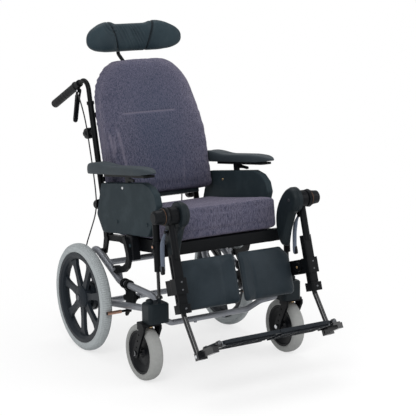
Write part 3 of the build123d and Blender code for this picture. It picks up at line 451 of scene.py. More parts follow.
def rubber(name, base, ribbed=False, roughness=0.72):
    """Mottled and dusty. Ribs are the sine of RIBS times the angle about the rear axle; painted shade
    darkens the grooves between them.
    """
    tyre = Finish(name, Specular_IOR_Level=0.35)
    mottle = tyre.between(tyre.noise(70, 5, 0.65), 0.3, 0.75)
    dirt = tyre.between(tyre.noise(24, 5, 0.7), 0.5, 0.78)
    height = tyre.noise(900, 3, 0.6) * 0.25
    colour = tyre.mix(mottle * 0.5, base, tinted(base, 0.8))
    colour = tyre.mix(dirt * 0.35, colour, tinted(base, 0.62))
    if ribbed:
        depth = tyre.node("ShaderNodeSeparateXYZ", None, {0: tyre.place}, out="Y") - AXLE_Y / 1000
        rise = tyre.node("ShaderNodeSeparateXYZ", None, {0: tyre.place}, out="Z") - REAR_AXLE_Z / 1000
        radius = (depth * depth + rise * rise) ** 0.5
        angle = rise.maths("ARCTAN2", rise, depth)
        wave = angle.maths("SINE", angle * RIBS)
        mask = tyre.between(radius, *TREAD)
        rib = tyre.between(wave, -0.35, 0.35) * mask
        height = height + rib * 2.2
        # painted shade: the grooves between the ribs, which are only bumps, are darkened
        colour = tyre.mix((mask - rib) * 0.3, colour, tinted(base, 0.5))
    rough = dirt * 0.12 + roughness
    return tyre.end(Base_Color=colour, Roughness=rough, Normal=tyre.bump(height, 0.0009, 0.8))


rear_rubber = rubber("rear_rubber", (0.375, 0.405, 0.415), ribbed=True)
castor_rubber = rubber("castor_rubber", (0.28, 0.285, 0.278))
grip_rubber = rubber("grip_rubber", (0.006, 0.0065, 0.0075), roughness=0.6)
cable_skin = rubber("cable_skin", (0.006, 0.0062, 0.007), roughness=0.45)
print("rubber finishes ready")

# %% [markdown]
# ## Which solid gets which finish
# Hard solids stay as CAD made them and only change material. A table lists, for each finish,
# the names of its nodes without their side. Solids that it doesn't name are the soft ones,
# which are made again below and wear the pad cover until then.

# %% Dress the solids
dressing = (
    (grey_coat, "chassis_frame"),
    (black_coat, "frame_clamps castor_fork wheel_lock strut_tubes seat_frame arm_post back_frame "
                 "headrest_stem leg_hanger calf_bracket push_handle brake_lever"),
    (dark_gloss, "strut_rods spring_cylinders recline_cylinder foot_tube"),
    (dark_steel, "brake_backplates spring_rods"),
    (bright_steel, "recline_rod"),
    (rear_rubber, "rear_tyre"),
    (castor_rubber, "castor_tyre"),
    (wheel_plastic, "rear_wheel"),
    (black_plastic, "castor_hub arm_sockets knee_knob handle_knob"),
    (cover_plastic, "castor_housings knee_covers back_shell"),
    (panel_plastic, "side_panel frame_bolts"),
    (lever_plastic, "release_lever"),
    (plate_plastic, "footplate"),
)
finish_of = {family: finish for finish, families in dressing for family in families.split()}
soft_solids = []
for name, solid in nodes.items():
    family = name.removesuffix("_left").removesuffix("_right")
    solid.data.materials.clear()
    solid.data.materials.append(finish_of.get(family, pad_cover))
    if family not in finish_of:
        soft_solids.append(name)
print("soft, to be made again:", soft_solids)

# %% [markdown]
# ## Cables
# A brake cable leaves each lever, runs down behind the back and goes in an easy bow to the
# brake plate. A release cable runs inside the back frame and under the seat. Each follows a
# NURBS line drawn towards a few points. The line is read back as points and a round tube is
# carried along it.

# %% Lines and tubes
def smooth_line(route, steps=40):
    """The points of a NURBS spline of order 3 whose control points are the route."""
    curve = bpy.data.curves.new("line", "CURVE")
    curve.dimensions, curve.resolution_u = "3D", steps
    spline = curve.splines.new("NURBS")
    spline.points.add(len(route) - 1)
    for point, place in zip(spline.points, route):
        point.co = (*place, 1)
    spline.order_u, spline.use_endpoint_u = 3, True
    holder = bpy.data.objects.new("line", curve)
    bpy.context.scene.collection.objects.link(holder)
    bpy.context.view_layer.update()
    line = coordinates(bpy.data.meshes.new_from_object(holder))
    bpy.data.objects.remove(holder)
    keep = np.r_[True, np.linalg.norm(np.diff(line, axis=0), axis=1) > 1e-6]
    return line[keep]


def coordinates(mesh):
    """The places of a mesh's points as an array."""
    found = np.zeros(len(mesh.vertices) * 3)
    mesh.vertices.foreach_get("co", found)
    return found.reshape(-1, 3)


def circle(count):
    """Cosines and sines of count even angles, and the angles."""
    angle = np.arange(count) * 2 * math.pi / count
    return np.cos(angle), np.sin(angle), angle


def along(line, radius, count=14, flat=1.0):
    """A tube round a line: each ring lies across the line's direction, turned from the side that
    points most nearly along X. Across that side the radius is times flat."""
    way = np.gradient(line, axis=0)
    way /= np.linalg.norm(way, axis=1)[:, None]
    side = np.array([1.0, 0, 0]) - way * way[:, :1]
    side /= np.linalg.norm(side, axis=1)[:, None]
    other = np.cross(way, side)
    c, s, _ = circle(count)
    radius = np.broadcast_to(radius, len(line))[:, None, None]
    ring = c[None, :, None] * side[:, None] + flat * s[None, :, None] * other[:, None]
    return line[:, None] + radius * ring


print("line helpers ready")

# %% [markdown]
# ## Cable routes
# The routes are those of the CAD cables, for the left side. The brake cable crosses two joints
# and is made in two lengths that meet on a straight run.

# %% Cables
CABLE_R = 0.0025
JOIN = (225.6, 266.2, 468.3)      # where the two lengths of a brake cable meet
UPPER = [(208, 403.2, 923.9), (220, 334.7, 870.1), (220, 293.6, 736), (220, 255.7, 590.8),
         (222, 246.5, 510.7), JOIN]
LOWER = [JOIN, (228, 279.4, 440), (260, 287.4, 344), (268, 241.9, 269)]
BEHIND_BACK = [(164, -14.8, 409.7), (164, 6, 320), (164, 20, 220), (150, 32, 30)]
UNDER_SEAT = [(60, 458, -42), (54, 380, -50), (42, 300, -16.8), (40, 240, -16.8)]


def cable(name, route, node):
    """A tube along the route's smooth line, in place of the node; it rides on no body."""
    line = smooth_line(route)
    made = grid_piece(name, along(line, CABLE_R), None, cable_skin, "cable", [node])
    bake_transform(made)


for side, sign in SIDES:
    mirror = (sign, 1, 1)
    upper, lower = np.array(UPPER) * mirror / 1000, np.array(LOWER) * mirror / 1000
    inner = [on_back(np.array(BEHIND_BACK) * mirror), on_seat(np.array(UNDER_SEAT) * mirror)]
    cable(f"brake_cable_upper_{side}", upper, "brake_cables")
    cable(f"brake_cable_lower_{side}", lower, "brake_cables")
    cable(f"release_cable_{side}", np.concatenate(inner), "release_cables")

# %% [markdown]
# ## Stuffed pieces by simulation
# A seat cushion is foam pressed into a sewn cover, so its faces swell between the edges and
# the edges pull tight. Cloth with inner pressure gives that form. A plain closed shape becomes
# an even mesh by a voxel remesh and is blown up for twenty frames with gravity off. No point
# may move further than a cap, so that the cushion stays the size of its solid.

# %% Blow up a cushion
CLOTH_FRAMES = 20
CUSHION_VOXEL, CUSHION_PRESSURE = 0.005, 3.0
scene = bpy.context.scene


def as_drawn(made):
    """The object as its modifiers leave it."""
    return made.evaluated_get(bpy.context.evaluated_depsgraph_get())


def swollen(name, points, voxel, pressure, cap):
    """Cloth from a closed grid: remeshed, then moved by inner pressure. Each move is cut to the
    cap, a length worked out from the points."""
    source = bpy.data.objects.new(name + "_start", grid_mesh(name + "_start", points))
    scene.collection.objects.link(source)
    even = source.modifiers.new("even", "REMESH")
    even.mode, even.voxel_size, even.use_smooth_shade = "VOXEL", voxel, True
    bpy.context.view_layer.update()
    mesh = bpy.data.meshes.new_from_object(as_drawn(source))
    bpy.data.objects.remove(source)
    ball = bpy.data.objects.new(name + "_cloth", mesh)
    scene.collection.objects.link(ball)
    cloth = ball.modifiers.new("cloth", "CLOTH")
    cloth.settings.use_pressure = True
    cloth.settings.uniform_pressure_force = pressure
    cloth.settings.effector_weights.gravity = 0
    cloth.settings.quality = 4
    cloth.point_cache.frame_start, cloth.point_cache.frame_end = 1, CLOTH_FRAMES
    for number in range(1, CLOTH_FRAMES + 1):
        scene.frame_set(number)
    blown = coordinates(as_drawn(ball).data)
    ball.modifiers.remove(cloth)
    scene.frame_set(1)
    rest = coordinates(mesh)
    move = blown - rest
    far = np.linalg.norm(move, axis=1)
    move = move * np.minimum(1, cap(rest) / np.maximum(far, 1e-9))[:, None]
    mesh.vertices.foreach_set("co", (rest + move).ravel())
    mesh.update()
    bpy.data.objects.remove(ball)
    moved = round(float(far.max()) * 1000, 1)
    print(name, len(mesh.vertices), "points, blown at most", moved, "mm before the cap")
    return mesh


print("cloth helper ready")

# %% [markdown]
# ## Work on a swollen piece
# Seams, creases and flat undersides are easiest to add upright, in millimetres. So a swollen
# mesh is read back into its own frame, changed there, leaned into the chair again, and given
# a note of where its seams and its painted light and shade are. Subdivision then smooths it once.

# %% Shape what has swollen
def to_local(points, origin_y, origin_z, degrees):
    """The reverse of leaning: metres to millimetres, takes the origin away and turns back."""
    c, s = math.cos(math.radians(degrees)), math.sin(math.radians(degrees))
    x, y, z = points.T * 1000
    y, z = y - origin_y, z - origin_z
    return np.stack([x, y * c - z * s, y * s + z * c], -1)


def put_back(mesh, local, place):
    """Writes local millimetres, leaned into the chair, into the mesh."""
    mesh.vertices.foreach_set("co", place(local).ravel())
    mesh.update()


def note(mesh, strength, name="seam"):
    """Stores, for the finish, how strongly each point is marked by seams and painted light, or under
    another name by another mark.
    """
    layer = mesh.attributes.get(name) or mesh.attributes.new(name, "FLOAT", "POINT")
    layer.data.foreach_set("value", np.clip(strength, 0, 1).astype(np.float32))


def stuffed(name, mesh, body, finish, node):
    """A padded piece in place of a node, smoothed by one level of subdivision."""
    made = piece(name, mesh, body, finish, [node])
    smoother = made.modifiers.new("smoother", "SUBSURF")
    smoother.levels = smoother.render_levels = 1


def valley(distance, width):
    """1 on a line and falling away from it as a bell of that width."""
    return np.exp(-((distance / width) ** 2))


print("cushion helpers ready")

# %% [markdown]
# ## Seat cushion
# The cushion is a thick slab, 424 mm wide, with a level top that falls softly to upright
# sides and a front edge that is nearly square. It starts as a slab whose outline narrows by
# the law |x|^n + |z|^n = 1 with a high n, a little smaller than the real one, swells, and is
# then pressed flat against the pan it lies on. A pale band of painted sheen runs round the
# top of its front and sides.

# %% Seat cushion
SEAT_FRONT, SEAT_REAR, SEAT_HALF = -14, 410, 213


def signed_power(values, power):
    """The size of each value raised to a power, with its sign kept: circles become squarish ovals."""
    return np.sign(values) * np.abs(values) ** power


def superslab(stations, power, count=72):
    """Sections across a path: at each station (place, half width, low, high) the outline
    |x/a|^n + |z/c|^n = 1."""
    c, s, _ = circle(count)
    place, half, low, high = np.asarray(stations, float).T[..., None]
    x = half * signed_power(c, 2 / power)
    z = (low + high) / 2 + (high - low) / 2 * signed_power(s, 2 / power)
    return np.stack([x, np.broadcast_to(place, x.shape), z], -1)


def seat_stations():
    """Half width, bottom and top against depth. The last 14 mm at the front and the rear draw in
    as (1 - |t|^26)^(1/4)."""
    t = np.concatenate([np.linspace(-1, -0.93, 8), np.linspace(-0.9, 0.9, 28), np.linspace(0.93, 1, 8)])
    draw = np.maximum((1 - np.abs(t) ** 26) ** 0.25, 0.05)
    y = 198.5 + 209.5 * t
    half = np.interp(y, [14, 34], [218, 210.5])
    top = np.interp(y, [-11, 30, 250, 406], [115, 112, 106, 101])
    return np.stack([y, half * (0.93 + 0.07 * draw), 2 + 26 * (1 - draw), top - 22 * (1 - draw)], -1)


def seat_roof(y):
    """Height of the top against depth: highest in front."""
    return np.interp(y, [-14, 0, 40, 250, 411], [118, 119, 115, 109, 105])


def seat_cap(points):
    """5 mm in the middle of a face, falling to nothing at the sewn edges and on the pan."""
    x, y, z = to_local(points, *SEAT_FRAME).T
    walls = (seat_roof(y) - z, y - SEAT_FRONT, SEAT_HALF - np.abs(x), z - 2, SEAT_REAR - y)
    from_edge = np.sort(np.stack(walls), axis=0)[1]
    return 0.005 * np.clip(from_edge / 45, 0.12, 1)


def extent(points):
    """Lowest and highest corner of the points."""
    flat = points.reshape(-1, 3)
    return flat.min(0).round(1), flat.max(0).round(1)


start = on_seat(superslab(seat_stations(), 16.0))
mesh = swollen("seat_cushion_cover", start, CUSHION_VOXEL, CUSHION_PRESSURE, seat_cap)
x, y, z = to_local(coordinates(mesh), *SEAT_FRAME).T
roof = seat_roof(y)
z = np.minimum(np.clip(z, 0.4, None), roof)
broad = np.interp(y, [16, 32], [221, 212.5])
x = np.clip(x, -broad, broad)
y = np.clip(y, SEAT_FRONT - 0.5, SEAT_REAR + 1)
under_roof = np.maximum(roof - z, 0)
# painted sheen: a pale band along the top front edge and the top side edges
rim = valley(np.hypot(under_roof, np.maximum(y - SEAT_FRONT, 0)) - 5, 5) * (y < 30) * (z > 60)
side_painted_sheen = valley(np.hypot(under_roof, np.maximum(broad - np.abs(x), 0)) - 5, 5) * (z > 60)
hollow = valley(np.hypot(x / 170, (y - 230) / 150), 1.0) * (z > 60) * 4.0
local = np.stack([x, y, z - hollow], -1)
put_back(mesh, local, on_seat)
note(mesh, np.maximum(rim, 0.6 * side_painted_sheen) * 0.45)
stuffed("seat_cushion_cover", mesh, "seat", velour_cloth, "seat_cushion")
print("seat cushion", *extent(local))

# %% [markdown]
# ## Back cushion
# The back is a loaf: broad against its shell, narrower at the face, with high round
# shoulders. A table of half widths against height, at the rear and at the face, gives its
# form. After swelling it gets one straight seam across at the height of the shoulder blades
# and, lower down, soft creases at its flanks, both painted as paler lines. Painted shade
# makes the middle of its face darker and bluer.

# %% Back cushion
BACK_REAR = -43
SEAM_Z, SEAM_LEFT, SEAM_RIGHT = 404, 84, -150
back_table = np.array([      # height, half width at the rear, half width and depth of the face
    (104, 188, 188, -122), (108, 198, 198, -132), (116, 205, 204, -138), (180, 207, 206, -141),
    (276, 208, 206, -142), (330, 209, 203, -139), (378, 211, 195, -135), (430, 211, 182, -128),
    (486, 207, 163, -122), (520, 200, 146, -118), (550, 186, 124, -115), (575, 167, 101, -111),
    (592, 150, 83, -105), (604, 131, 64, -97), (612, 110, 48, -85)], float)


def loaf(count=84):
    """Sections up the back. Round each, u = cos and v = sin to small powers; the half width runs
    from the front's to the rear's as v does from -1 to 1, and v is the depth."""
    height = np.r_[np.linspace(104, 140, 11), np.linspace(152, 560, 32), np.linspace(568, 612, 14)]
    rear, front, face = (np.interp(height, back_table[:, 0], back_table[:, k])[:, None] for k in (1, 2, 3))
    c, s, _ = circle(count)
    power = np.where(s < 0, 2 / np.interp(height, [340, 460], [9.0, 4.4])[:, None], 2 / 40.0)
    u, v = signed_power(c, power), signed_power(s, power)
    share = ((v + 1) / 2) ** 0.8
    x = u * (front + (rear - front) * share)
    y = (face + BACK_REAR) / 2 + v * (BACK_REAR - face) / 2
    return np.stack([x, y, np.broadcast_to(height[:, None], x.shape)], -1)


def back_cap(points):
    """6 mm over the front, nothing where the cover is fixed to the shell or turns under."""
    x, y, z = to_local(points, *BACK_FRAME).T
    return 0.006 * np.clip((-48 - y) / 30, 0.06, 1) * np.clip((z - 104) / 40, 0.1, 1)


def stroke(x, z, front, crease):
    """A soft line on the front from one point to another, fading out over its ends."""
    x0, z0, x1, z1, width = crease
    gone = (z - z0) / (z1 - z0)
    share = np.clip(gone, 0, 1)
    inside = np.clip(np.minimum(gone, (z1 - z) / (z1 - z0)) * 6, 0, 1)
    return valley(x - (x0 + (x1 - x0) * share), width) * inside * front


mesh = swollen("back_cushion_cover", on_back(loaf()), CUSHION_VOXEL, CUSHION_PRESSURE, back_cap)
x, y, z = to_local(coordinates(mesh), *BACK_FRAME).T
front = np.clip((-58 - y) / 12, 0, 1)
ends = np.clip((SEAM_LEFT - x) / 12, 0, 1), np.clip((x - SEAM_RIGHT) / 12, 0, 1)
across = valley(z - SEAM_Z, 2.6) * ends[0] * ends[1] * front
creases = [(-178, 366, -156, 150, 5.0), (-203, 345, -196, 240, 3.5), (-190, 330, -192, 262, 3.0),
           (84, 232, 76, 128, 4.0)]
folds = sum(stroke(x, z, front, crease) for crease in creases)
shoulder = valley(np.abs(x) - (150 - 0.10 * (z - 300)), 12) * front
shoulder = shoulder * np.clip((z - 420) / 60, 0, 1) * np.clip((590 - z) / 60, 0, 1)
y = np.clip(y + 3.4 * across + 2.6 * folds + 1.5 * shoulder, -149, -40.4)
limit = np.interp(z, [104, 116, 340, 450, 500], [199, 206.5, 209, 213, 213])
x = np.clip(x, -limit, limit)
local = np.stack([x, y, np.clip(z, 103.4, 618)], -1)
put_back(mesh, local, on_back)
# painted paler along the sewn line and the creases
note(mesh, 0.55 * across + 0.42 * folds * np.where(x < 0, 1, 0.4))
# painted shade: the middle of the face, darker and bluer
note(mesh, valley((x + 10) / 130, 1.0) * valley((z - 330) / 230, 1.0) * front, "crushed")
stuffed("back_cushion_cover", mesh, "back", velour_cloth, "back_cushion")
print("back cushion", *extent(local))

# %% [markdown]
# ## Headrest
# The headrest has a hollow middle for the head and a thick wing each side. Sections along its
# width are ovals |u|^2.5 + |v|^2.7 = 1 whose size and place follow the width: taller in the
# wings, set forward at the ends and drawn to a round tip. The cover is gathered over the
# middle, so slanting wrinkles run across it, and a deep seam joins it to each wing. Painted
# shade darkens both seams and the troughs of the wrinkles.

# %% Headrest
HEAD_FRAME = (AXLE_Y + 175, 1080, 2)
HEAD_HALF = 201
WRINKLES = ((-34, 1.3), (-22, 0.8), (4, 1.7), (15, 1.5), (27, 1.0), (-52, 0.7), (42, 0.6))


def headrest_points(rows=230, count=88):
    """Ovals along x; t is x over the half width. Half height and depth end as (1 - |t|^6)^0.4,
    and the wings begin at 76 mm by a logistic step."""
    t = np.sin(np.linspace(-1, 1, rows) * math.pi / 2 * 0.985)
    x = HEAD_HALF * t
    wing = 1 / (1 + np.exp(-(np.abs(x) - 76) / 6))
    tip = np.maximum(1 - np.abs(t) ** 6, 0) ** 0.4
    lean = np.clip((np.abs(x) - 105) / 95, 0, 1)
    half_h = (52 + 5 * wing - 14 * lean ** 1.5) * tip
    mid_h = 53.5 + 5 * wing - 9 * lean ** 1.3
    half_d = (25 + 7 * wing - 7 * lean) * tip
    mid_d = -4 - 38 * (np.abs(x) / 200) ** 1.7 - 3 * wing
    c, s, _ = circle(count)
    oval_d, oval_h = signed_power(c, 2 / 2.5), signed_power(s, 2 / 2.7)
    y = mid_d[:, None] + half_d[:, None] * oval_d
    z = mid_h[:, None] + half_h[:, None] * oval_h
    return np.broadcast_to(x[:, None], y.shape), y, z, oval_d, oval_h


def gathered(x, y, z, oval_d, oval_h):
    """Draws the cover in along its seams, and waves it by a cosine under a bell for each wrinkle.
    Gives the points, and the painted shade of each: dark along the seams and in the wrinkles' troughs."""
    seam = valley(np.abs(x) - 73 - 0.26 * (z - 56) - 0.22 * np.clip(z - 56, 0, None) * (x < 0), 3.0)
    slant = x + 0.5 * (z - 75)
    waves = (np.cos((slant - at) * math.pi / 8) * valley(slant - at, 5.5) * size for at, size in WRINKLES)
    wrinkle = sum(waves) * valley((z - 78) / 42, 1.0) * (np.abs(x) < 68)
    radial = np.hypot(np.abs(x) - 84, z - 112)
    pull = np.cos(radial * math.pi / 7) * valley(radial - 30, 16) * (x < -70) * (z > 60) * 0.8
    side_fold = valley(np.abs(x) - 150 - 0.3 * (z - 59), 14) * 1.2
    drawn = 6.0 * seam + side_fold
    y = y - oval_d * (drawn - 2.6 * (wrinkle + pull) * (oval_d < 0))
    z = z - oval_h * drawn * 0.7
    # painted shade: dark along the seams, half as dark in the troughs of the wrinkles and ripples
    return np.stack([x, y, z], -1), seam + 0.5 * np.clip(-wrinkle - pull, 0, 1)


shape, seam = gathered(*headrest_points())
mesh = grid_mesh("headrest_cover", leaning(*HEAD_FRAME)(shape))
note(mesh, seam.ravel())
stuffed("headrest_cover", mesh, "head_pad", headrest_cover, "headrest_pad")
print("headrest", *extent(shape))

# %% [markdown]
# ## Blocks and turned shapes
# Small hard parts are of two kinds. A block is a rounded outline carried upwards and drawn in
# at both edges, and a turned part is a profile spun about an axis. Both are worked out as
# grids, so that the same function closes them and turns their faces outwards.

# %% Blocks and turned shapes
def rounded(half_x, half_y, corner, count=10):
    """Outline of a rectangle with quarter circles at its corners, as (points, 2)."""
    quarter = np.linspace(0, math.pi / 2, count)
    turns = quarter[None, :] + np.arange(4)[:, None] * math.pi / 2
    signs = np.array([(1, 1), (-1, 1), (-1, -1), (1, -1)])
    x, y = (signs * (half_x - corner, half_y - corner)).T[..., None]
    return np.stack([x + corner * np.cos(turns), y + corner * np.sin(turns)], -1).reshape(-1, 2)


def with_depth(outlines, depth):
    """Adds a third coordinate, one value for each outline."""
    third = np.broadcast_to(depth[:, None, None], outlines.shape[:2] + (1,))
    return np.concatenate([outlines, third], -1)


def block(half_x, half_y, height, corner, edge, count=6):
    """An upright block on z = 0: its outline, drawn in by a quarter circle at both edges."""
    bend = np.linspace(0, math.pi / 2, count)
    draw = np.concatenate([edge * (1 - np.sin(bend)), edge * (1 - np.cos(bend))])
    rise = np.concatenate([edge * (1 - np.cos(bend)), height - edge * (1 - np.sin(bend))])
    reach = np.stack([1 - draw / half_x, 1 - draw / half_y], -1)
    return with_depth(rounded(half_x, half_y, corner)[None] * reach[:, None], rise)


def turned(profile, centre, axis, count=40, sides=0):
    """A profile of (distance along the axis, radius) turned about it. With sides, the radius
    follows a polygon: r cos(pi/n) / cos(the angle from the middle of the nearest side)."""
    axis = np.asarray(axis, float) / np.linalg.norm(axis)
    across = np.cross(axis, (0, 0, 1) if abs(axis[2]) < 0.9 else (1, 0, 0))
    across /= np.linalg.norm(across)
    third = np.cross(axis, across)
    c, s, angle = circle(count)
    reach = np.ones(count)
    if sides:
        part = 2 * math.pi / sides
        reach = math.cos(part / 2) / np.cos((angle + part / 2) % part - part / 2)
    distance, radius = np.asarray(profile, float).T
    ring = (c * reach)[:, None] * across + (s * reach)[:, None] * third
    return np.asarray(centre, float) + distance[:, None, None] * axis + radius[:, None, None] * ring


print("block and turning helpers ready")

# %% [markdown]
# ## Headrest plate
# The plate and hinge behind the headrest were part of the same solid, so they are made again:
# a rounded plate, two ears and the pin through them.

# %% Headrest plate
_, pivot_y, pivot_z = on_back((0, 34, 717)) * 1000
plate = block(34, 26, 9.5, 8, 1.5)[..., [0, 2, 1]] + (0, pivot_y - 24, pivot_z)
grid_piece("headrest_plate", plate / 1000, "head_pad", black_coat, "black_metal")
ear = block(14, 11, 5.5, 9, 0.8)[..., [2, 0, 1]] + (16.5, pivot_y - 8, pivot_z)
for side, sign in SIDES:
    grid_piece(f"headrest_ear_{side}", ear * (sign, 1, 1) / 1000, "head_pad", black_coat, "black_metal")
pin = [(-24, 3), (-23, 5), (-22, 5), (22, 5), (23, 5), (24, 3)]
pin = turned(pin, (0, pivot_y, pivot_z), (1, 0, 0), 24)
grid_piece("headrest_pin", pin / 1000, "head_pad", bright_steel, "steel")
print("headrest plate at", round(pivot_y, 1), round(pivot_z, 1))

# %% [markdown]
# ## Arm pads
# Each pad is foam moulded in one piece, with a hump for the elbow near its rear and a low
# round nose in front. Its plan is a long rounded outline. The height of its top follows a curve
# along the length, and rings of the outline shrink towards the middle to close the crowned top.

# %% Arm pads
ARM_X, ARM_MIDDLE, ARM_HALF, ARM_BOTTOM = 244, 262, 237, 233.2
# each ring's share of the plan's width, and of the height between the bottom and the top
ARM_INSET = np.array([0.88, 0.95, 0.98, 0.995, 1.0, 0.99, 0.965, 0.92, 0.85, 0.74, 0.56, 0.33, 0.05])
ARM_LIFT = np.array([0.0, 0.02, 0.09, 0.22, 0.42, 0.60, 0.74, 0.85, 0.92, 0.96, 0.985, 0.997, 1.0])


def arm_pad_points(half_count=56):
    """Rings of a plan that is blunt behind and narrows to a round nose in front. They shrink over
    a crown; the heights of top and bottom follow the length."""
    there = np.linspace(-1, 1, half_count, endpoint=False)
    back_again = np.linspace(1, -1, half_count, endpoint=False)
    t = np.sin(np.r_[there, back_again] * math.pi / 2)
    edge = np.repeat([1, -1], half_count)
    plan_y = ARM_MIDDLE + ARM_HALF * t
    width = np.interp(plan_y, [25, 45, 75, 120, 200, 300, 400, 460, 499],
                      [14, 20, 26, 30.5, 33, 33, 34.5, 34, 30])
    nose = np.maximum(1 - np.abs(t) ** np.where(t < 0, 12, 16), 0) ** 0.5
    x = (edge * width * nose)[None] * ARM_INSET[:, None]
    shrink = np.where(ARM_INSET > 0.8, 0.16, 0.16 + (0.8 - ARM_INSET))
    y = ARM_MIDDLE + (plan_y[None] - ARM_MIDDLE) * (1 - (1 - ARM_INSET) * shrink)[:, None]
    top = np.interp(y, [25, 45, 80, 140, 240, 300, 335, 370, 410, 440, 470, 490, 499],
                    [12, 19, 25.5, 29.5, 30, 30, 33, 38.5, 43, 44, 41, 34, 26])
    bottom = np.interp(y, [25, 45, 90, 480, 499], [7, 3.5, 0, 0, 3])
    return np.stack([ARM_X + x, y, ARM_BOTTOM + bottom + (top - bottom) * ARM_LIFT[:, None]], -1)


shape = arm_pad_points()
for side, sign in SIDES:
    mesh = grid_mesh(f"arm_pad_{side}", on_seat(shape * (sign, 1, 1)), sharp=70)
    note(mesh, np.zeros(len(mesh.vertices)))
    stuffed(f"arm_pad_cover_{side}", mesh, f"arm_{side}", arm_foam,
            f"arm_pad_{side}")
print("arm pad", *extent(shape))

# %% [markdown]
# ## Calf pads
# A calf pad is a covered board, hollowed towards the leg: its inner quarter turns forward in
# a soft crease. It is swollen a little like a cushion, from rounded rings whose depth follows
# the width.

# %% Calf pads
CALF_X, CALF_Z = 124, -237
CALF_HALF_X, CALF_HALF_Z = 115.5, 87.5
CALF_VOXEL, CALF_PRESSURE, CALF_SWELL = 0.0045, 2.5, 0.002


def calf_line(x):
    """Depth of the pad's middle surface against its width: forward at the inner end, a crease at
    62 mm, back at the outer end."""
    return np.interp(x, [4, 20, 40, 54, 64, 80, 130, 190, 225, 241],
                     [65, 70, 77, 82, 83.5, 84, 88, 94, 99, 104])


def evenly(points, count):
    """A closed outline read at even steps of the length walked round it."""
    closed = np.concatenate([points, points[:1]])
    gone = np.r_[0, np.cumsum(np.linalg.norm(np.diff(closed, axis=0), axis=1))]
    steps = np.linspace(0, gone[-1], count, endpoint=False)
    return np.stack([np.interp(steps, gone, closed[:, 0]), np.interp(steps, gone, closed[:, 1])], -1)


def calf_pad_points():
    """A covered board: a rounded outline with its upper outer corner cut off, rings drawn in by
    10(1 - cos a) mm at both faces, bent along the line above."""
    across, up = evenly(rounded(CALF_HALF_X, CALF_HALF_Z, 14, 9), 160).T
    up = np.where(up > 0, np.minimum(up, CALF_HALF_Z - np.clip(across - 78, 0, None)), up)
    bend = np.linspace(0, math.pi / 2, 7)
    face = np.array([0.05, 0.3, 0.6, 0.85])
    drawn_in = 10 * (1 - np.cos(bend))

    def insets(half, share):
        edge = 1 - drawn_in / half
        return np.r_[face * share, edge[::-1], edge, face[::-1] * share][:, None]

    front, behind = -2 - 8.5 * np.sin(bend), 2 + 8.5 * np.sin(bend)
    depth = np.r_[-13.5, -13.0, -12.2, -11.2, front[::-1], behind, 11, 11, 11, 11]
    x = CALF_X + across * insets(CALF_HALF_X, 0.91)
    z = CALF_Z + up * insets(CALF_HALF_Z, 0.88)
    return np.stack([x, calf_line(x) + depth[:, None], z], -1)


for side, sign in SIDES:
    start = on_leg(calf_pad_points() * (sign, 1, 1))
    mesh = swollen(f"calf_pad_{side}", start, CALF_VOXEL, CALF_PRESSURE, lambda points: CALF_SWELL)
    x, y, z = to_local(coordinates(mesh), *LEG_FRAME).T
    off_middle = np.abs(np.abs(x) - CALF_X)
    rim = np.maximum(off_middle / 116, np.abs(z - CALF_Z) / 88)
    welt = valley(y - calf_line(np.abs(x)) - 7.5, 1.3) * (rim > 0.93)
    crease = valley(np.abs(x) - 60, 6) * (y < calf_line(np.abs(x)))
    x = x - np.sign(x * sign - CALF_X) * sign * 1.5 * welt * (off_middle > 108)
    y = np.minimum(y + 2.0 * crease, calf_line(np.abs(x)) + 11.5)
    local = np.stack([x, y, z], -1)
    put_back(mesh, local, on_leg)
    # painted shade: dark in the groove along the welt
    note(mesh, 0.8 * welt)
    stuffed(f"calf_pad_cover_{side}", mesh, f"calf_{side}", pad_cover,
            f"calf_pad_{side}")
print("calf pad", *extent(local))

# %% [markdown]
# ## Knee covers
# Over each knee sits a moulded cover, a comma whose tail runs down the seat frame's end. Its
# outline is a closed row of points, spaced evenly and eased by averaging neighbours. A large
# round edge moves that outline inwards along its normals while it crosses the thickness, and
# a rim behind it carries the knob.

# %% Knee covers
_, KNEE_Y, KNEE_Z = to_local(on_leg(np.zeros((1, 3))), *SEAT_FRAME)[0]
comma = np.array([
    (-102, 150), (-80, 145), (-57, 129), (-33, 103), (-16, 76), (-7, 48), (-4, 28), (-4, 5),
    (-9, -18), (-17, -40), (-29, -59), (-43, -65), (-52, -59), (-57, -42), (-66, -14), (-78, 10),
    (-91, 32), (-101, 52), (-112, 60), (-126, 66), (-142, 85), (-147, 104), (-142, 126),
    (-126, 144)], float)


def knee_cover_points():
    """Rings of the comma: drawn in by 14(1 - cos a) mm while x goes from 236 to 236 - 25 sin a,
    and by 3 mm on the outer side."""
    row = evenly(comma, 180)
    outline = np.mean([np.roll(row, k, axis=0) for k in range(-3, 4)], axis=0)
    way = np.roll(outline, -1, axis=0) - np.roll(outline, 1, axis=0)
    normal = np.stack([way[:, 1], -way[:, 0]], -1) / np.linalg.norm(way, axis=1)[:, None]
    normal *= np.sign(((outline - outline.mean(0)) * normal).sum())
    a = np.linspace(0, math.pi / 2, 9)
    drawn_in = np.r_[3, 0.9, 0, 14 * (1 - np.cos(a))]
    x = np.r_[240, 239.2, 237.5, 236 - 25 * np.sin(a)]
    return with_depth(outline[None] - normal[None] * drawn_in[:, None, None], x)[..., [2, 0, 1]]


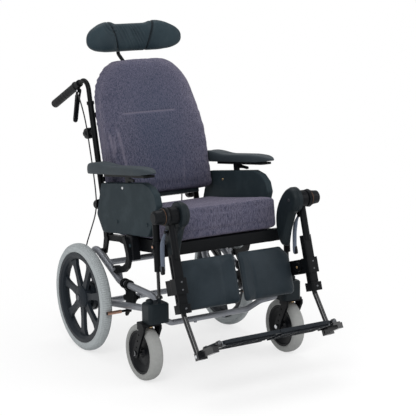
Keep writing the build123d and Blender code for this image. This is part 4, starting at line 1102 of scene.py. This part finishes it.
rim = [(20, 30), (20, 42), (22, 44.5), (36, 44.5), (39, 41), (39, 30), (38, 30), (38, 8)]
pin = [(3, 4), (4, 6), (93, 6), (94, 4)]
for side, sign in SIDES:
    knee = (sign * 206, KNEE_Y, KNEE_Z)
    for name, points, finish, slot in (
            ("cover", knee_cover_points() * (sign, 1, 1), cover_plastic, "black_plastic"),
            ("rim", turned(rim, knee, (sign, 0, 0), 64), cover_plastic, "black_plastic"),
            ("pin", turned(pin, knee, (sign, 0, 0), 24), dark_steel, "steel")):
        grid_piece(f"knee_{name}_{side}", on_seat(points), "seat", finish, slot, ["knee_covers"])
print("knee at", round(KNEE_Y, 1), round(KNEE_Z, 1))

# %% [markdown]
# ## Grips
# The hand grips are soft rubber sleeves with rings to hold by, a flange at the front and a
# domed end. The radius is a profile along the handle: a base, plus a row of low waves.

# %% Hand grips
HANDLE_X = 200


def back_place(y, z):
    """A point given from the rear axle, in the back's own frame."""
    return to_local(np.array([[0.0, AXLE_Y + y, z]]) / 1000, *BACK_FRAME)[0]


bend, grip_end = back_place(141, 996.5), back_place(422, 868)
reach = np.linalg.norm(grip_end - bend)
grip_way = (grip_end - bend) / reach


def grip_profile():
    """Radius against distance: a flange, then 15.6 mm with shallow valleys every 12 mm, then a
    quarter-round end."""
    d = np.linspace(104, reach - 5, 120)
    wave = 0.8 * np.clip(np.cos((d - 110) * 2 * math.pi / 12), -0.4, 1)
    sleeve = np.stack([d, 15.6 + wave - 1.2 * valley(d - 200, 60)], -1)
    flange = [(100, 10), (100.2, 17.5), (101.5, 18.4), (103, 18.2), (104, 16.4)]
    angle = np.linspace(0.2, 1.5, 8)
    dome = np.stack([reach - 5 + 5.2 * np.sin(angle), 11 + 4.8 * np.cos(angle)], -1)
    return np.concatenate([flange, sleeve, dome, [(reach + 0.4, 4)]])


for side, sign in SIDES:
    grip = on_back(turned(grip_profile(), bend + (sign * HANDLE_X, 0, 0), grip_way))
    grid_piece(f"hand_grip_{side}", grip, f"push_{side}", grip_rubber, "black_plastic", sharp=60)
print("grip", round(float(reach - 100)), "mm long")

# %% [markdown]
# ## Small bright fittings
# Bolts, nuts and rings are what make the metalwork believable. All of them are turned
# profiles, some with six sides. One table lists those of the left side: name, body, frame,
# place and way of the axis, shape, and what it wears: finish and slot. A body whose name ends
# in _ has one on each side.

# %% Fittings
def hex_bolt(r, h):
    """Six sides, and a profile with a small edge at the foot and a domed top."""
    return 6, [(0, r * 0.96), (0.4, r), (h - 1, r), (h, r * 0.86), (h + 0.2, r * 0.3)]


def button(r, h):
    """Round, and a quarter of an ellipse of height h for its profile."""
    return 0, [(0, r)] + [(h * math.sin(a), r * math.cos(a)) for a in np.linspace(0, 1.35, 7)]


def ring(inner, outer, width):
    """Round, and a square profile with its two outer corners cut off."""
    return 0, [(0, inner), (0, outer - 0.4), (0.4, outer), (width - 0.4, outer), (width, outer - 0.4),
               (width, inner)]


OUT, IN, FRONT, REAR, UP, DOWN = (1, 0, 0), (-1, 0, 0), (0, -1, 0), (0, 1, 0), (0, 0, 1), (0, 0, -1)
_, lever_y, lever_z = bend + grip_way * 88
bright, dark, brass = (bright_steel, "steel"), (dark_steel, "steel"), (brass_plate, "steel")
black = (black_plastic, "black_plastic")
fittings = [
    ("knob_ring", "knee_knob_", on_leg, (297.6, 0, 0), OUT, ring(20, 27.8, 2.4),
     (bronze_ring, "lock_metal")),
    ("lock_sleeve", "lock_", on_floor, (262, -207, 185), OUT, ring(4, 6.4, 56),
     (copper_plate, "lock_metal")),
    ("lock_bolt", "chassis", on_floor, (211, -250, 240), IN, hex_bolt(7, 4), bright),
    ("castor_nut_outer", "fork_", on_floor, (334.4, -436, 100), OUT, hex_bolt(8.6, 4.4), bright),
    ("castor_nut_inner", "fork_", on_floor, (259.6, -436, 100), IN, hex_bolt(8.6, 5), bright),
    ("stem_nut", "fork_", on_floor, (297, -478, 204.5), DOWN, hex_bolt(11, 7), (brass_plate, "lock_metal")),
    ("housing_cap", "chassis", on_floor, (297, -478, 294), UP, button(11, 4), black),
    ("strut_bolt", "struts_upper", on_floor, (285.5, -484, 478), OUT, button(5, 2.6),
     (copper_plate, "steel")),
    ("wheel_cap", "wheel_", on_floor, (331, 0, 200), OUT, button(10, 3.4), (dark_steel, "wheel_grey")),
    ("panel_button", "seat", on_seat, (241.6, 272, 184), OUT, button(6, 3), bright),
    ("panel_screw", "seat", on_seat, (216.3, 330, 168), IN, button(4.5, 2.2), brass),
    ("lever_screw", "release_", on_leg, (278.2, 101, -172), OUT, button(3.4, 1.4), bright),
    ("lever_pivot", "leg_", on_leg, (281.8, 30, -50), OUT, button(6.5, 2.5), black),
    ("calf_pivot", "calf_", on_leg, (240.2, 62, -235), IN, button(5, 2.4), brass),
    ("calf_screw_upper", "calf_", on_leg, (268, -3.8, -222), FRONT, button(3.6, 1.8), dark),
    ("calf_screw_lower", "calf_", on_leg, (268, -3.8, -248), FRONT, button(3.6, 1.8), dark),
    ("rail_screw", "leg_", on_leg, (268, -5.8, -311), FRONT, button(4.2, 2), dark),
    ("foot_bolt", "foot_", on_foot, (276, -22, -27), OUT, hex_bolt(6, 3.6), bright),
    ("hinge_cap_front", "foot_", on_foot, (232, -112, -6), FRONT, button(7, 2.4), dark),
    ("hinge_cap_rear", "foot_", on_foot, (232, -13, -6), REAR, button(7, 2.4), bright),
    ("grip_lever_bolt", "brake_", on_back, (208, lever_y - 6, lever_z - 22), OUT, button(4.6, 2), bright),
    ("back_hinge_bolt", "seat", on_seat, (213, 495.7, 24.6), OUT, hex_bolt(9, 4), bright),
    ("knob_insert", "handle_knob_", on_back, (HANDLE_X, 58, 360), REAR, button(8, 1.6),
     (dark_steel, "black_plastic")),
]
for side, sign in SIDES:
    mirror = np.array((sign, 1, 1))
    for name, body, on_frame, place, way, (sides, profile), wear in fittings:
        count = 48 if sides or profile[0][1] > 15 else 32
        points = turned(profile, on_frame(place * mirror) * 1000, way * mirror, count, sides) / 1000
        rides_on = body + side if body.endswith("_") else body
        grid_piece(f"{name}_{side}", points, rides_on, *wear)
print(2 * len(fittings), "fittings")

# %% [markdown]
# ## Cast foot plate ends and lever tips
# Where a foot plate meets its hinge it has a cast end in bare metal: a rounded block, a little
# proud of the solid it dresses. Each release lever is a grey blade, an oval carried along a
# curve and broader towards its end, where it wears a dark shoe.

# %% Plate ends and lever tips
lever_route = np.array([
    (274.5, 27, -44), (274, 60, -62), (273, 82, -100), (272, 93, -138), (272, 104, -184)])
plate_end = block(15, 44, 16.5, 6, 3) + (205, -62, -17)
lever_shoe = block(8.4, 16, 10.4, 7, 2)[..., [2, 0, 1]] + (269.3, 101.5, -172)
for side, sign in SIDES:
    mirror = (sign, 1, 1)
    grid_piece(f"plate_end_{side}", on_foot(plate_end * mirror), f"plate_{side}", dark_steel, "steel")
    path = smooth_line(on_leg(lever_route * mirror))
    share = np.linspace(0, 1, len(path))
    broad = np.interp(share, [0, 0.03, 0.14, 0.35, 0.96, 1], [3.4, 4.6, 5, 8.6, 8.2, 6.4]) / 1000
    grid_piece(f"lever_blade_{side}", along(path, broad, 28, 0.6), f"release_{side}", lever_plastic,
               "lever_grey", [f"release_lever_{side}"])
    shoe = on_leg(lever_shoe * mirror)
    grid_piece(f"lever_shoe_{side}", shoe, f"release_{side}", black_plastic, "black_plastic")
print(len(pieces_made), "pieces,", sum(pieces_made.values()), "faces before subdivision")

# %% [markdown]
# ## Floor
# The photograph is cut out on white. The floor is pale and keeps the chair's soft shadow near
# it. For the camera and for reflections a white glow is mixed in, all of it further off, so
# that the floor runs out into the white sky without an edge.

# %% Floor
FLOOR_HALF = 60
FADE_FROM, FADE_TO, NEAR_GLOW = 0.6, 1.3, 0.68


def white_floor():
    """Pale and dull. Camera and reflections see a white glow mixed in, from NEAR_GLOW of it at
    FADE_FROM metres from the middle to all of it at FADE_TO."""
    ground = Finish("floor_white", Base_Color=(0.93, 0.93, 0.93, 1), Roughness=0.9)
    away = ground.node("ShaderNodeVectorMath", {"operation": "LENGTH"}, {0: ground.place}, out="Value")
    fade = ground.node("ShaderNodeMapRange", None, {0: away, 1: FADE_FROM, 2: FADE_TO, 3: NEAR_GLOW})
    camera_ray = ground.node("ShaderNodeLightPath", out="Is Camera Ray")
    glossy_ray = ground.node("ShaderNodeLightPath", out="Is Glossy Ray")
    seen = camera_ray.maths("MAXIMUM", camera_ray, glossy_ray)
    dull, glow = Wire(ground, ground.shader.outputs[0]), ground.node("ShaderNodeEmission")
    shown = ground.node("ShaderNodeMixShader", None, {0: seen * fade, 1: dull, 2: glow})
    ground.tree.links.new(shown.socket, ground.tree.nodes["Material Output"].inputs[0])
    return ground.material


corners = [(-FLOOR_HALF, -FLOOR_HALF, 0), (FLOOR_HALF, -FLOOR_HALF, 0), (FLOOR_HALF, FLOOR_HALF, 0),
           (-FLOOR_HALF, FLOOR_HALF, 0)]
floor_mesh = bpy.data.meshes.new("floor")
floor_mesh.from_pydata(corners, [], [(0, 1, 2, 3)])
floor_mesh.materials.append(white_floor())
floor = bpy.data.objects.new("floor", floor_mesh)
scene.collection.objects.link(floor)
floor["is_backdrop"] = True
print("floor ready")

# %% [markdown]
# ## Sky and lamps
# Two large soft lamps stand in front, the one on the camera's side stronger, and a third hangs
# above. The sky fills the shadows. The camera sees it plain white, other rays a little dimmer.

# %% Sky and lamps
SKY_LIGHT = 0.62      # strength for all rays but the camera's, which see plain white
world = bpy.data.worlds.new("sky")
scene.world = world
world.use_nodes = True
sky = world.node_tree
rays = sky.nodes.new("ShaderNodeLightPath")
pick = sky.nodes.new("ShaderNodeMapRange")
pick.inputs[3].default_value, pick.inputs[4].default_value = SKY_LIGHT, 1.0
sky.links.new(rays.outputs["Is Camera Ray"], pick.inputs[0])
sky.links.new(pick.outputs[0], sky.nodes["Background"].inputs["Strength"])
sky.nodes["Background"].inputs["Color"].default_value = (1, 1, 1, 1)


def lamp(name, place, aim_height, size, power):
    """A square lamp of that size in metres, turned to look at a point over the middle."""
    light = bpy.data.lights.new(name, "AREA")
    light.size, light.energy = size, power
    holder = bpy.data.objects.new(name, light)
    scene.collection.objects.link(holder)
    holder.location = place
    aim = Vector((0, 0, aim_height)) - Vector(place)
    holder.rotation_euler = aim.to_track_quat("-Z", "Y").to_euler()


lamp("key_light", (-2.6, -3.0, 3.4), 0.6, 2.2, 105)
lamp("fill_light", (2.8, -2.4, 2.2), 0.6, 2.4, 38)
lamp("top_light", (0.2, 0.8, 3.8), 0.4, 2.4, 42)
scene.view_settings.view_transform = "Standard"
print("sky and lamps ready")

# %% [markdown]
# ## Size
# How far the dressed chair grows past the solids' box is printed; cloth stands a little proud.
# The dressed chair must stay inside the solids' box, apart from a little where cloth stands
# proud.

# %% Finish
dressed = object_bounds()
grown = [[round(1000 * (b - a), 1) for a, b in zip(c, d)] for c, d in zip(cad_box, dressed)]
print("grown by", grown, "mm")
